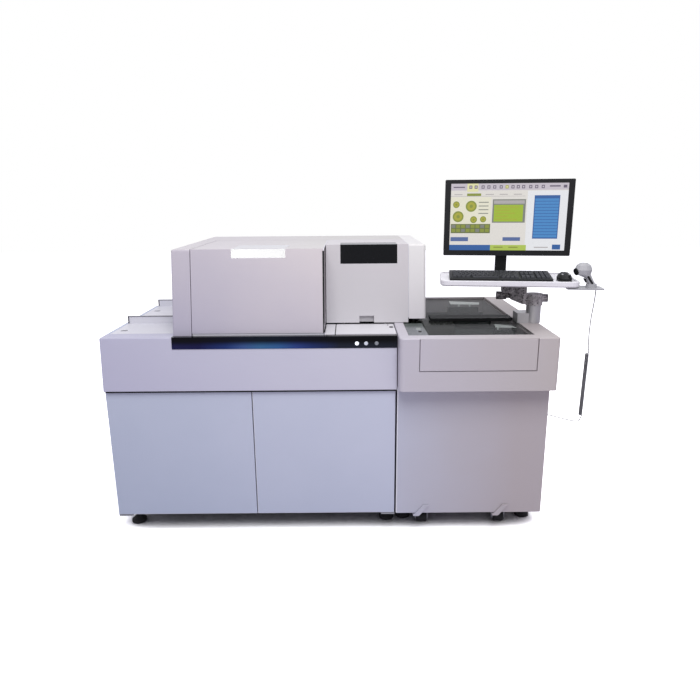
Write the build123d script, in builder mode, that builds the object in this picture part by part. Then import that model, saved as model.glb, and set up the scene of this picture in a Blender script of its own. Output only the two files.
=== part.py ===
"""Two-module clinical chemistry analyzer: an analyzer cabinet under a hood, a rack feeder
beside it, and a monitor console on a swivelling arm.

Millimetres, +Z up, the operator stands on the -Y side.  The origin is on the floor, under the
middle of the whole machine.
"""
import os
from math import atan2, cos, degrees, radians, sin

from build123d import *

os.makedirs("parts", exist_ok=True)

# ---------------------------------------------------------------- driving dimensions
# Stations of the two modules
SPLIT_X = 187.8            # plane between the analyzer and the feeder
DOOR_Y = -425.5            # front plane of the cabinet doors
ANALYZER_WIDTH = 1240.0
FEEDER_WIDTH = 650.0
DEPTH = 935.0              # door plane to the outside of the rear panels
LEFT_X = SPLIT_X - ANALYZER_WIDTH
RIGHT_X = SPLIT_X + FEEDER_WIDTH
REAR_Y = DOOR_Y + DEPTH
MODULE_GAP = 4.0

# Heights of the analyzer cabinet
BASE_Z = 85.0              # underside of doors and panels
BAND_Z = 667.0             # underside of the front band
DECK_Z = 860.0             # top of the working deck
TOP_Z = 897.0              # top of the band and of the side covers
DUCT_Z = 840.0             # top of the low rear duct beside the hood
SIDE_SHEET = 16.0          # thickness of the side panel
SHEET = 4.0                # folded sheet and moulded cover walls
DECK_SHEET = 5.0
BAND_DEPTH = 88.0          # how far the band casing reaches back
BAND_PROUD = 12.0          # its lower edge stands this far in front of the doors
BAND_SET_BACK = 6.0        # and its upper edge this far behind them

# Hood over the working deck
HOOD_LEFT_X = SPLIT_X - 940.0
HOOD_RIGHT_X = SPLIT_X + 146.0
HOOD_TOP_Z = 1252.0
HOOD_FRONT = 30.0          # depth of the main face at its foot
HOOD_LEAN = 66.0           # how far the face leans back up to the roof
STAT_FRONT = 235.0         # the same foot for the recessed right-hand part
LID_HINGE = 620.0          # depth of the hinge line of both lids
COLUMN_X = SPLIT_X - 862.0
LID_SPLIT_X = SPLIT_X - 305.0
CAP_X = SPLIT_X + 70.0
LID_GAP = 4.0
LID_FOOT_Z = 908.0
CAP_FOOT_Z = 925.0
REAR_DUCT = 778.0          # depth at which the side covers end and the low duct starts

# Feeder
BOX_PROUD = 84.0           # overhang of the feeder's upper box
BOX_Z = 683.0
BOX_TOP_Z = 906.0
GLASS_LEFT_X = SPLIT_X + 43.0
GLASS_RIGHT_X = SPLIT_X + 562.0
GLASS_FRONT = -22.0
GLASS_REAR = 925.0
GLASS_JOINT = 338.0        # the sliding cover ends here, the fixed pane starts
GLASS = 5.0
LANE_Z = 800.0

# Console: everything above the post is turned by the swivel's rest angle
POST_X = SPLIT_X + 626.0
POST_D = 226.0
POST_Y = DOOR_Y + POST_D
POST_R = 32.0
CONSOLE_TURN = -8.0
TRAY_TOP_Z = 1112.0
TRAY_THICK = 24.0

RUN_CLEARANCE = 0.3        # between parts that move on each other


# ---------------------------------------------------------------- helpers
def depth(distance):
    """Y of a plane this far behind the cabinet doors."""
    return DOOR_Y + distance


def extrude_side(points, x_from, x_to, mode=Mode.ADD, radius=0):
    """Extrude an outline of (depth behind the doors, z) points between two X stations."""
    with BuildSketch(Plane.YZ.offset(x_from)) as outline:
        with BuildLine():
            Polyline(*[(depth(d), z) for d, z in points], close=True)
        make_face()
        if radius:
            fillet(outline.vertices(), radius)
    extrude(outline.sketch, amount=x_to - x_from, mode=mode)


def extrude_front(points, d_from, d_to, mode=Mode.ADD, radius=0):
    """Extrude an outline of (x, z) points from one depth behind the doors to another."""
    with BuildSketch(Plane.XZ.offset(-depth(d_from))) as outline:
        with BuildLine():
            Polyline(*points, close=True)
        make_face()
        if radius:
            fillet(outline.vertices(), radius)
    extrude(outline.sketch, amount=-(d_to - d_from), mode=mode)


def extrude_plan(points, z_from, z_to, mode=Mode.ADD, radius=0):
    """Extrude an outline of (x, depth behind the doors) points between two heights."""
    with BuildSketch(Plane.XY.offset(z_from)) as outline:
        with BuildLine():
            Polyline(*[(x, depth(d)) for x, d in points], close=True)
        make_face()
        if radius:
            fillet(outline.vertices(), radius)
    extrude(outline.sketch, amount=z_to - z_from, mode=mode)


def rectangle(a0, a1, b0, b1):
    """Corner points of a rectangle from a0 to a1 by b0 to b1."""
    return [(a0, b0), (a1, b0), (a1, b1), (a0, b1)]


def upright(x, d, z_from, z_to, r, mode=Mode.ADD):
    """A vertical cylinder at (x, depth) between two heights."""
    with BuildSketch(Plane((x, depth(d), z_from))) as disc:
        Circle(r)
    extrude(disc.sketch, amount=z_to - z_from, mode=mode)


def prism(x, d, z_from, z_to, r, sides, mode=Mode.ADD, taper=0):
    """A vertical polygonal prism at (x, depth), for small turned pieces."""
    with BuildSketch(Plane((x, depth(d), z_from))) as section:
        RegularPolygon(r, sides)
    extrude(section.sketch, amount=z_to - z_from, taper=taper, mode=mode)


def across(d, z, x_from, x_to, r, mode=Mode.ADD):
    """A cylinder along X at (depth, z) between two X stations."""
    with BuildSketch(Plane.YZ.offset(x_from)) as disc:
        with Locations((depth(d), z)):
            Circle(r)
    extrude(disc.sketch, amount=x_to - x_from, mode=mode)


def write(builder, name):
    """Label a finished piece and write it under its own name."""
    builder.part.label = name
    export_step(builder.part, f"parts/{name}.step")


# ---------------------------------------------------------------- analyzer: chassis and panels
WALL = 3.0
DIVIDER_X = SPLIT_X - 617.0            # between the two cabinet bays, behind the doors' split
CHASSIS_LEFT = LEFT_X + SIDE_SHEET
CHASSIS_RIGHT = SPLIT_X - MODULE_GAP
DOOR_THICK = 18.0
CHASSIS_FRONT = 24.0
SILL_Z = 79.0
SHELF_Z = 690.0
FLOOR_Z = SILL_Z + WALL                # top of the cabinet floor
PIVOT_D = 9.0                          # depth of the door pivots
PIVOT_XS = (LEFT_X + 10.0, SPLIT_X - MODULE_GAP - 16.0)
PIVOT_R = 4.0
BRACKET = 60.0                         # length of the brackets under the doors' outer ends

with BuildPart() as chassis:
    # Folded floor, two bays, a shelf above them and side walls that carry the deck
    extrude_front(rectangle(CHASSIS_LEFT, CHASSIS_RIGHT, SILL_Z, DECK_Z - DECK_SHEET),
                  CHASSIS_FRONT, 900)
    bay_left = rectangle(CHASSIS_LEFT + WALL, DIVIDER_X - WALL / 2, FLOOR_Z, SHELF_Z)
    bay_right = rectangle(DIVIDER_X + WALL / 2, CHASSIS_RIGHT - WALL, FLOOR_Z, SHELF_Z)
    machine_bay = rectangle(CHASSIS_LEFT + WALL, CHASSIS_RIGHT - WALL, SHELF_Z + WALL, DECK_Z)
    for room in (bay_left, bay_right, machine_bay):
        extrude_front(room, CHASSIS_FRONT, 900 - WALL, mode=Mode.SUBTRACT)
    # The band casing takes the room in front of the upper part, the low duct that behind it
    extrude_front(rectangle(CHASSIS_LEFT, CHASSIS_RIGHT, BAND_Z, DECK_Z), CHASSIS_FRONT,
                  BAND_DEPTH, mode=Mode.SUBTRACT)
    extrude_front(rectangle(CHASSIS_LEFT, HOOD_LEFT_X, DUCT_Z - SHEET, DECK_Z), REAR_DUCT, 900,
                  mode=Mode.SUBTRACT)
    # Brackets under the doors' outer ends with the lower pivot holes
    extrude_front(rectangle(LEFT_X + 2, LEFT_X + 2 + BRACKET, SILL_Z, BASE_Z), 2, CHASSIS_FRONT)
    extrude_front(rectangle(CHASSIS_RIGHT - BRACKET, CHASSIS_RIGHT, SILL_Z, BASE_Z), 2,
                  CHASSIS_FRONT)
    for pivot_x in PIVOT_XS:
        upright(pivot_x, PIVOT_D, SILL_Z, BASE_Z, PIVOT_R + RUN_CLEARANCE, mode=Mode.SUBTRACT)
write(chassis, "chassis")

RIM = 18.0
PANEL_SKIN = 3.0
with BuildPart() as left_side_panel:
    # Pan of folded sheet behind the door's edge, its rim against the chassis
    front = CHASSIS_FRONT
    extrude_side(
        [(front, SILL_Z), (front, BAND_Z - 2), (BAND_DEPTH + 1, BAND_Z - 2),
         (BAND_DEPTH + 1, TOP_Z), (REAR_DUCT, TOP_Z), (REAR_DUCT, DUCT_Z), (DEPTH, DUCT_Z),
         (DEPTH, SILL_Z)], LEFT_X, LEFT_X + SIDE_SHEET)
    extrude_side(
        [(front + RIM, SILL_Z + RIM), (front + RIM, BAND_Z - 2 - RIM),
         (BAND_DEPTH + RIM, BAND_Z - 2 - RIM), (BAND_DEPTH + RIM, TOP_Z - RIM),
         (REAR_DUCT - RIM, TOP_Z - RIM), (REAR_DUCT - RIM, DUCT_Z - RIM),
         (DEPTH - RIM, DUCT_Z - RIM), (DEPTH - RIM, SILL_Z + RIM)],
        LEFT_X + PANEL_SKIN, LEFT_X + SIDE_SHEET, mode=Mode.SUBTRACT)
    # A bank of ventilation slots low at the back
    for row in range(6):
        z = 160 + 26 * row
        extrude_side(rectangle(640, 860, z, z + 8), LEFT_X, LEFT_X + SIDE_SHEET,
                     mode=Mode.SUBTRACT)
write(left_side_panel, "left_side_panel")

with BuildPart() as rear_panel:
    extrude_front(
        [(CHASSIS_LEFT, SILL_Z), (CHASSIS_RIGHT, SILL_Z), (CHASSIS_RIGHT, TOP_Z),
         (HOOD_LEFT_X, TOP_Z), (HOOD_LEFT_X, DUCT_Z), (CHASSIS_LEFT, DUCT_Z)],
        DEPTH - PANEL_SKIN, DEPTH)
    # Spacer rails that carry the panel on the chassis
    for rail_x in (CHASSIS_LEFT, DIVIDER_X - 20, CHASSIS_RIGHT - 40):
        extrude_plan(rectangle(rail_x, rail_x + 40, 900, DEPTH - PANEL_SKIN), SILL_Z,
                     DUCT_Z - SHEET)
    # Two fan grilles of upright slots
    for fan_x in (LEFT_X + 330, LEFT_X + 900):
        for slot in range(9):
            x = fan_x - 96 + 24 * slot
            reach = 70 - 9 * abs(slot - 4)
            extrude_front(rectangle(x - 5, x + 5, 400 - reach, 400 + reach), 929, DEPTH,
                          mode=Mode.SUBTRACT)
write(rear_panel, "rear_panel")


def band_face(z):
    """Depth of the leaning face of the front band at a height."""
    return -BAND_PROUD + (z - BAND_Z) * (BAND_PROUD + BAND_SET_BACK) / (TOP_Z - BAND_Z)


BUTTON_Z = 868.0
BUTTON_XS = {"start_button": SPLIT_X - 169, "pause_button": SPLIT_X - 131,
             "stop_button": SPLIT_X - 87}
BUTTON_R = 8.2
BUTTON_SIDES = 16
BUTTON_FOOT = SHEET + 3.4               # reach of the foot behind the band's face
BUTTON_PROUD = 4.5                     # head in front of the band's face, through the strip
LEAN = atan2(BAND_PROUD + BAND_SET_BACK, TOP_Z - BAND_Z)
PRESS = Vector(0, cos(LEAN), -sin(LEAN))           # into the leaning face


def press_plane(x, lift=0.0):
    """Plane square to the leaning face at a button, its normal out of the machine."""
    origin = Vector(x, depth(band_face(BUTTON_Z)), BUTTON_Z) - PRESS * lift
    return Plane(origin, x_dir=(1, 0, 0), z_dir=-PRESS)


with BuildPart() as front_band:
    # Casing closed at the ends, top and bottom and open towards the chassis
    extrude_side([(band_face(BAND_Z), BAND_Z), (band_face(TOP_Z), TOP_Z),
                  (BAND_DEPTH, TOP_Z), (BAND_DEPTH, BAND_Z)], LEFT_X, SPLIT_X - MODULE_GAP / 2)
    fillet(front_band.edges().filter_by(Axis.X).sort_by(Axis.Y)[:2], 4)
    low, high = BAND_Z + SHEET, TOP_Z - SHEET
    extrude_side([(band_face(low) + SHEET, low), (band_face(high) + SHEET, high),
                  (BAND_DEPTH + 1, high), (BAND_DEPTH + 1, low)],
                 LEFT_X + SHEET, SPLIT_X - MODULE_GAP / 2 - SHEET, mode=Mode.SUBTRACT)
    for pivot_x in PIVOT_XS:
        upright(pivot_x, PIVOT_D, BAND_Z - 1, BAND_Z + SHEET + 1, PIVOT_R + RUN_CLEARANCE,
                mode=Mode.SUBTRACT)
    for button_x in BUTTON_XS.values():
        with BuildSketch(press_plane(button_x, lift=-14)) as hole:
            RegularPolygon(BUTTON_R + RUN_CLEARANCE, BUTTON_SIDES)
        extrude(hole.sketch, amount=24, mode=Mode.SUBTRACT)
write(front_band, "front_band")

STRIP_FOOT_Z = 849.0
STRIP_THICK = 2.5
with BuildPart() as display_strip:
    # Glossy strip bent over the upper edge of the band
    extrude_side(
        [(band_face(STRIP_FOOT_Z), STRIP_FOOT_Z), (band_face(STRIP_FOOT_Z) - STRIP_THICK, STRIP_FOOT_Z),
         (band_face(TOP_Z) - STRIP_THICK, TOP_Z + STRIP_THICK), (HOOD_FRONT - 1, TOP_Z + STRIP_THICK),
         (HOOD_FRONT - 1, TOP_Z), (band_face(TOP_Z), TOP_Z)],
        HOOD_LEFT_X, SPLIT_X - MODULE_GAP / 2)
    for button_x in BUTTON_XS.values():
        with BuildSketch(press_plane(button_x, lift=-14)) as hole:
            RegularPolygon(BUTTON_R + RUN_CLEARANCE, BUTTON_SIDES)
        extrude(hole.sketch, amount=24, mode=Mode.SUBTRACT)
write(display_strip, "display_strip")

for button_name, button_x in BUTTON_XS.items():
    with BuildPart() as button:
        # Flanged cap: a bevelled head in the strip's hole, held behind by its wider foot
        with BuildSketch(press_plane(button_x, lift=-BUTTON_FOOT)):
            RegularPolygon(BUTTON_R, BUTTON_SIDES)
        extrude(amount=BUTTON_FOOT + BUTTON_PROUD)
        chamfer(button.faces().sort_by(Axis.Y)[0].edges(), 1.5)
        with BuildSketch(press_plane(button_x, lift=-BUTTON_FOOT)):
            RegularPolygon(BUTTON_R + 3, 8)
        extrude(amount=3)
    write(button, button_name)

# ---------------------------------------------------------------- deck and the wheels in it
TUB_FLOOR_Z = 735.0
TUB_WALL = 4.0
TUB_GAP = 6.0
TUB_SIDES = 36
REAGENT = (SPLIT_X - 690, 330.0, 165.0)    # x, depth, radius of each wheel
REACTION = (SPLIT_X - 370, 600.0, 195.0)
STAT = (SPLIT_X - 125, 400.0, 95.0)
SAMPLE_PIVOT = (SPLIT_X - 110, 640.0)
REAGENT_PIVOT = (SPLIT_X - 610, 610.0)
MIXER_POST = (SPLIT_X - 540, 775.0)
WASH_POST = (SPLIT_X - 215, 790.0)
COLUMN_R = 17.0
POST_SMALL_R = 9.0
SPINDLE_R = 12.0

with BuildPart() as deck_plate:
    extrude_plan([(CHASSIS_LEFT, BAND_DEPTH + 1), (CHASSIS_RIGHT, BAND_DEPTH + 1),
                  (CHASSIS_RIGHT, 926), (HOOD_LEFT_X, 926), (HOOD_LEFT_X, REAR_DUCT - 2),
                  (CHASSIS_LEFT, REAR_DUCT - 2)], DECK_Z - DECK_SHEET, DECK_Z)
    for x, d, r in (REAGENT, REACTION, STAT):
        # A cooled or heated tub hangs under each wheel, with a bush for its spindle
        tub_r = r + TUB_GAP
        prism(x, d, TUB_FLOOR_Z, DECK_Z - DECK_SHEET, tub_r + TUB_WALL, TUB_SIDES)
        prism(x, d, TUB_FLOOR_Z + TUB_WALL, DECK_Z, tub_r, TUB_SIDES, mode=Mode.SUBTRACT)
        upright(x, d, TUB_FLOOR_Z, TUB_FLOOR_Z + TUB_WALL, SPINDLE_R + RUN_CLEARANCE,
                mode=Mode.SUBTRACT)
    for x, d in (SAMPLE_PIVOT, REAGENT_PIVOT):
        prism(x, d, DECK_Z - DECK_SHEET, DECK_Z + 24, COLUMN_R + 10, 12)
        upright(x, d, DECK_Z - DECK_SHEET, DECK_Z + 24, COLUMN_R + RUN_CLEARANCE,
                mode=Mode.SUBTRACT)
    for x, d in (MIXER_POST, WASH_POST):
        prism(x, d, DECK_Z - DECK_SHEET, DECK_Z + 18, POST_SMALL_R + 8, 10)
        upright(x, d, DECK_Z - DECK_SHEET, DECK_Z + 18, POST_SMALL_R + RUN_CLEARANCE,
                mode=Mode.SUBTRACT)
write(deck_plate, "deck_plate")


def spindle(x, d, top):
    """Wheel spindle from the motor side of the tub's bush up to a height."""
    upright(x, d, TUB_FLOOR_Z - 25, top, SPINDLE_R)
    prism(x, d, TUB_FLOOR_Z + TUB_WALL + 2, TUB_FLOOR_Z + TUB_WALL + 8, SPINDLE_R + 14, 10)


BOTTLES = 18
with BuildPart() as reagent_wheel:
    x, d, r = REAGENT
    spindle(x, d, 792)
    prism(x, d, 749, 755, r, TUB_SIDES)
    prism(x, d, 792, 900, 22, 10)                # lift-out handle of the tray
    for index in range(BOTTLES):
        # Wedge bottles with a raised neck, side by side round the tray
        turn = 360 / BOTTLES * index
        with BuildSketch(Plane((x, depth(d), 755)).rotated((0, 0, turn))) as bottle:
            with BuildLine():
                Polyline((r - 98, 8), (r - 4, 24), (r - 4, -24), (r - 98, -8), close=True)
            make_face()
        extrude(bottle.sketch, amount=118)
        neck_x, neck_d = r * 0.74 * cos(radians(turn)), r * 0.74 * sin(radians(turn))
        with BuildSketch(Plane((x + neck_x, depth(d) + neck_d, 873))) as neck:
            RegularPolygon(13, 6)
        extrude(neck.sketch, amount=14)
write(reagent_wheel, "reagent_wheel")

CUVETTES = 40
with BuildPart() as reaction_wheel:
    x, d, r = REACTION
    spindle(x, d, 806)
    prism(x, d, 796, 868, r, CUVETTES)
    prism(x, d, 806, 868, r - 35, CUVETTES, mode=Mode.SUBTRACT)
    prism(x, d, 806, 840, 30, 10)
    for index in range(6):
        # Lightening windows between the spokes
        angle = radians(60 * index)
        prism(x + 96 * cos(angle), d + 96 * sin(angle), 790, 812, 36, 8, mode=Mode.SUBTRACT)
    for index in range(CUVETTES):
        # One square cuvette mouth per seat
        with BuildSketch(Plane((x, depth(d), 868)).rotated((0, 0, 360 / CUVETTES * index))) as mouth:
            with Locations((r - 16, 0)):
                Rectangle(9, 7)
        extrude(mouth.sketch, amount=-30, mode=Mode.SUBTRACT)
write(reaction_wheel, "reaction_wheel")

STAT_SEATS = 14
with BuildPart() as stat_table:
    x, d, r = STAT
    spindle(x, d, 800)
    prism(x, d, 790, 872, r, 2 * STAT_SEATS)
    prism(x, d, 862, 872, r - 33, 2 * STAT_SEATS, mode=Mode.SUBTRACT)
    prism(x, d, 862, 896, 14, 8)                 # lift-out knob
    for index in range(STAT_SEATS):
        angle = radians(360 / STAT_SEATS * index)
        centre = Plane((x + (r - 17) * cos(angle), depth(d) + (r - 17) * sin(angle), 872))
        with BuildSketch(centre) as seat:
            RegularPolygon(8.5, 6)
        extrude(seat.sketch, amount=-24, mode=Mode.SUBTRACT)
write(stat_table, "stat_table")


# ---------------------------------------------------------------- pipetting arms, mixer, washer
ARM_Z = 1010.0
PROBE_TIP_Z = 910.0
ARM_REACH = 200.0


def arm_column(builder_name, x, d):
    """Column that rises through the deck bush and carries a swinging arm."""
    with BuildPart() as column:
        upright(x, d, 700, ARM_Z - 12, COLUMN_R)
        upright(x, d, ARM_Z - 12, ARM_Z + 18, 10 - RUN_CLEARANCE)
    write(column, builder_name)


def swing_arm(builder_name, x, d, rest):
    """Arm with a rounded cover, tapered towards the probe that hangs from its end."""
    turn = Plane((x, depth(d), ARM_Z - 12)).rotated((0, 0, rest))
    with BuildPart() as arm:
        with BuildSketch(turn) as plan:
            with BuildLine():
                outer = CenterArc((0, 0), 27, 90, 180)
                tip = CenterArc((ARM_REACH, 0), 13, -90, 180)
                Line(outer @ 0, tip @ 1)
                Line(tip @ 0, outer @ 1)
            make_face()
        extrude(amount=38)
        chamfer(arm.faces().sort_by(Axis.Z)[-1].edges(), 6)
        upright(x, d, ARM_Z - 12, ARM_Z + 18 + RUN_CLEARANCE, 10, mode=Mode.SUBTRACT)
        tip_x = x + ARM_REACH * cos(radians(rest))
        tip_d = d + ARM_REACH * sin(radians(rest))
        prism(tip_x, tip_d, ARM_Z - 60, ARM_Z - 12, 4, 8)
        prism(tip_x, tip_d, PROBE_TIP_Z, ARM_Z - 60, 1.3, 6)
    write(arm, builder_name)


SAMPLE_REST = -62.0
REAGENT_REST = -78.0
arm_column("sample_arm_column", *SAMPLE_PIVOT)
swing_arm("sample_arm", *SAMPLE_PIVOT, SAMPLE_REST)
arm_column("reagent_arm_column", *REAGENT_PIVOT)
swing_arm("reagent_arm", *REAGENT_PIVOT, REAGENT_REST)


def towards_wheel(post, distance):
    """A point (x, depth) this far from a post towards the reaction wheel's centre."""
    run = Vector(REACTION[0] - post[0], REACTION[1] - post[1]).normalized() * distance
    return post[0] + run.X, post[1] + run.Y


def lifting_head(builder_name, post, nozzles, spread, foot_z, nozzle_r):
    """A post through the deck with a head that hangs nozzles or paddles over the cuvettes."""
    ring = REACTION[2] - 16
    reach = Vector(REACTION[0] - post[0], REACTION[1] - post[1]).length - ring
    heading = degrees(atan2(REACTION[1] - post[1], REACTION[0] - post[0]))
    with BuildPart() as head:
        upright(*post, 720, 985, POST_SMALL_R)
        plan = Plane((post[0], depth(post[1]), 985)).rotated((0, 0, heading))
        with BuildSketch(plan):
            with Locations((reach / 2, 0)):
                RectangleRounded(reach + 40, 34 + spread, 12)
        extrude(amount=30)
        chamfer(head.faces().sort_by(Axis.Z)[-1].edges(), 5)
        for index in range(nozzles):
            along = (index - (nozzles - 1) / 2) * spread / max(nozzles - 1, 1)
            swing = radians(heading + 180) + along / ring
            prism(REACTION[0] + ring * cos(swing), REACTION[1] + ring * sin(swing),
                  foot_z, 985, nozzle_r, 6)
    write(head, builder_name)


lifting_head("mixer_head", MIXER_POST, 3, 40, 874, 3.0)
lifting_head("wash_head", WASH_POST, 5, 84, 874, 2.5)

# ---------------------------------------------------------------- lift-off side covers
FLANGE_H = 34.0
COVER_LEFT = CHASSIS_LEFT
COVER_RIGHT = HOOD_LEFT_X - 3
FRONT_COVER_END = 308.0
with BuildPart() as side_covers:
    def tray_cover(d_from, d_to, flange_d):
        """Folded cover standing on the deck, with one upturned flange at its rear."""
        extrude_side([(d_from, DECK_Z), (d_from, TOP_Z), (flange_d, TOP_Z),
                      (flange_d, TOP_Z + FLANGE_H), (flange_d + SHEET, TOP_Z + FLANGE_H),
                      (flange_d + SHEET, TOP_Z), (d_to, TOP_Z), (d_to, DECK_Z),
                      (d_to - SHEET, DECK_Z), (d_to - SHEET, TOP_Z - SHEET),
                      (d_from + SHEET, TOP_Z - SHEET), (d_from + SHEET, DECK_Z)],
                     COVER_LEFT, COVER_RIGHT)

    tray_cover(BAND_DEPTH + 2, FRONT_COVER_END + 8, FRONT_COVER_END)
    tray_cover(FRONT_COVER_END + 10, REAR_DUCT - 3, REAR_DUCT - 14)
    # Finger recesses beside the outer edge
    for d in (156, 622):
        extrude_plan(rectangle(LEFT_X + 36, LEFT_X + 66, d - 12, d + 12), TOP_Z - SHEET, TOP_Z,
                     mode=Mode.SUBTRACT, radius=4)
    # Low cover of the rear duct
    extrude_plan(rectangle(COVER_LEFT, COVER_RIGHT, REAR_DUCT + 1, 928), DUCT_Z - SHEET, DUCT_Z)
write(side_covers, "side_covers")

# ---------------------------------------------------------------- hood and its lids
CREASE_R = 10.0            # rounding between the leaning face and the roof

def hood_outline(foot, foot_z, inset=0.0):
    """Side profile of the hood: leaning face from a foot depth, flat roof, upright back."""
    lean = HOOD_LEAN / (HOOD_TOP_Z - 903) * inset
    return [(foot + inset, foot_z), (foot + HOOD_LEAN + inset - lean, HOOD_TOP_Z - inset),
            (DEPTH - inset, HOOD_TOP_Z - inset), (DEPTH - inset, foot_z)]


with BuildPart() as hood_shell:
    extrude_side(hood_outline(HOOD_FRONT, TOP_Z), HOOD_LEFT_X, CAP_X)
    fillet(hood_shell.edges().filter_by(Axis.X).group_by(Axis.Z)[-1], CREASE_R)
    hood_face_edge = hood_shell.edges().group_by(Axis.X)[0].sort_by(Axis.Y)[0]
    fillet(hood_face_edge, 6)
    extrude_side(hood_outline(HOOD_FRONT, TOP_Z - 9, inset=SHEET), HOOD_LEFT_X + SHEET, CAP_X + 1,
                 mode=Mode.SUBTRACT)
    # Openings of the two lids
    extrude_side(rectangle(-50, LID_HINGE, TOP_Z - 5, HOOD_TOP_Z + 50), COLUMN_X, CAP_X + 5,
                 mode=Mode.SUBTRACT)
    # Return that closes the left column towards the lid
    extrude_side([(HOOD_FRONT + 4, TOP_Z), (HOOD_FRONT + HOOD_LEAN + 3, HOOD_TOP_Z - 4),
                  (HOOD_FRONT + HOOD_LEAN + 54, HOOD_TOP_Z - 4), (HOOD_FRONT + 60, TOP_Z)],
                 COLUMN_X - SHEET, COLUMN_X)
    # Cross rail under the roof that carries the hinges
    extrude_side(rectangle(LID_HINGE + 1, LID_HINGE + 24, HOOD_TOP_Z - 34, HOOD_TOP_Z - SHEET),
                 HOOD_LEFT_X + SHEET, CAP_X)
    # Skirt of the left wall, down to the deck beside the lift-off covers
    extrude_side(rectangle(BAND_DEPTH + 2, 926, DECK_Z, TOP_Z), HOOD_LEFT_X, HOOD_LEFT_X + SHEET)
    # The foot of the back wall clears the feeder's box
    extrude_side(rectangle(900, DEPTH + 20, TOP_Z - 5, CAP_FOOT_Z), SPLIT_X - 1, CAP_X + 5,
                 mode=Mode.SUBTRACT)
write(hood_shell, "hood_shell")

with BuildPart() as hood_end_cap:
    extrude_side(hood_outline(STAT_FRONT, CAP_FOOT_Z), CAP_X, HOOD_RIGHT_X)
    fillet(hood_end_cap.edges().filter_by(Axis.X).group_by(Axis.Z)[-1], CREASE_R)
    cap_corner = hood_end_cap.edges().group_by(Axis.X)[-1]
    fillet(cap_corner.sort_by(Axis.Y)[0], 12)
    extrude_side(hood_outline(STAT_FRONT, CAP_FOOT_Z - 9, inset=SHEET), CAP_X + SHEET,
                 HOOD_RIGHT_X - SHEET, mode=Mode.SUBTRACT)
    # The inner wall is open behind the pillar, so that the arm reaches over the feeder
    extrude_side(rectangle(STAT_FRONT + 90, DEPTH - 20, CAP_FOOT_Z - 5, HOOD_TOP_Z - 40),
                 CAP_X - 1, CAP_X + SHEET + 1, mode=Mode.SUBTRACT)
write(hood_end_cap, "hood_end_cap")

def creased(points, x_from, x_to, inner=False):
    """Extrude a lid outline whose roof crease is rounded, on the inside too where it is a skin."""
    with BuildSketch(Plane.YZ.offset(x_from)) as outline:
        with BuildLine():
            Polyline(*[(depth(d), z) for d, z in points], close=True)
        make_face()
        levels = outline.vertices().group_by(Axis.Y)
        if inner:
            fillet(levels[-2].sort_by(Axis.X)[0], CREASE_R - SHEET)
        fillet(levels[-1].sort_by(Axis.X)[0], CREASE_R)
    extrude(outline.sketch, amount=x_to - x_from)


def lid_skin(foot, x_from, x_to):
    """Moulded lid: leaning face and roof in one sheet with a rounded crease."""
    top = foot + HOOD_LEAN
    creased([(foot, LID_FOOT_Z), (top, HOOD_TOP_Z), (LID_HINGE - 3, HOOD_TOP_Z),
             (LID_HINGE - 3, HOOD_TOP_Z - SHEET), (top + SHEET, HOOD_TOP_Z - SHEET),
             (foot + SHEET + 1, LID_FOOT_Z)], x_from, x_to, inner=True)


def lid_cheek(foot, x_from, x_to, reach):
    """Side wall of a lid, cut back towards the hinge."""
    top = foot + HOOD_LEAN
    creased([(foot, LID_FOOT_Z), (top, HOOD_TOP_Z), (LID_HINGE - 3, HOOD_TOP_Z),
             (LID_HINGE - 3, HOOD_TOP_Z - 26), (top + reach, HOOD_TOP_Z - 60),
             (foot + reach, LID_FOOT_Z)], x_from, x_to)


def window_profile(foot, drop, reach):
    """Side outline of the room that a bent window takes round a lid's crease."""
    top = foot + HOOD_LEAN
    slope = HOOD_LEAN / (HOOD_TOP_Z - 903)
    low = HOOD_TOP_Z - drop
    return [(top - slope * drop - 30, low), (top - slope * drop + 30, low),
            (top + 30, HOOD_TOP_Z - 30), (top + reach, HOOD_TOP_Z - 30),
            (top + reach, HOOD_TOP_Z + 30), (top - 60, HOOD_TOP_Z + 30)]


MAIN_WINDOW = (SPLIT_X - 690, SPLIT_X - 464, 36.0, 200.0)   # x from, x to, drop, reach
STAT_WINDOW = (SPLIT_X - 238, SPLIT_X + 18, 84.0, 120.0)


def lid(foot, x_from, x_to, window, cheeks):
    """A complete lid in the active part."""
    lid_skin(foot, x_from, x_to)
    for cheek_from, cheek_to, reach in cheeks:
        lid_cheek(foot, cheek_from, cheek_to, reach)
    w_from, w_to, drop, reach = window
    extrude_side(window_profile(foot, drop, reach), w_from, w_to, mode=Mode.SUBTRACT)
    # Roof flange along the hinge line
    extrude_side(rectangle(LID_HINGE - 40, LID_HINGE - 3, HOOD_TOP_Z - 22, HOOD_TOP_Z - SHEET),
                 x_from + 40, x_from + 130)
    extrude_side(rectangle(LID_HINGE - 40, LID_HINGE - 3, HOOD_TOP_Z - 22, HOOD_TOP_Z - SHEET),
                 x_to - 130, x_to - 40)


def lid_window(builder_name, foot, window):
    """Smoked pane bent round the crease, flush in the lid's opening."""
    w_from, w_to, drop, reach = window
    with BuildPart() as pane:
        lid_skin(foot, w_from, w_to)
        keep = window_profile(foot, drop, reach)
        extrude_side(keep, w_from, w_to, mode=Mode.INTERSECT)
    write(pane, builder_name)


with BuildPart() as main_lid:
    m_from, m_to = COLUMN_X + 3, LID_SPLIT_X - LID_GAP / 2
    lid(HOOD_FRONT, m_from, m_to, MAIN_WINDOW,
        [(m_from, m_from + SHEET, 30), (m_to - SHEET, m_to, 260)])
write(main_lid, "main_lid")
lid_window("main_lid_window", HOOD_FRONT, MAIN_WINDOW)

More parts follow.
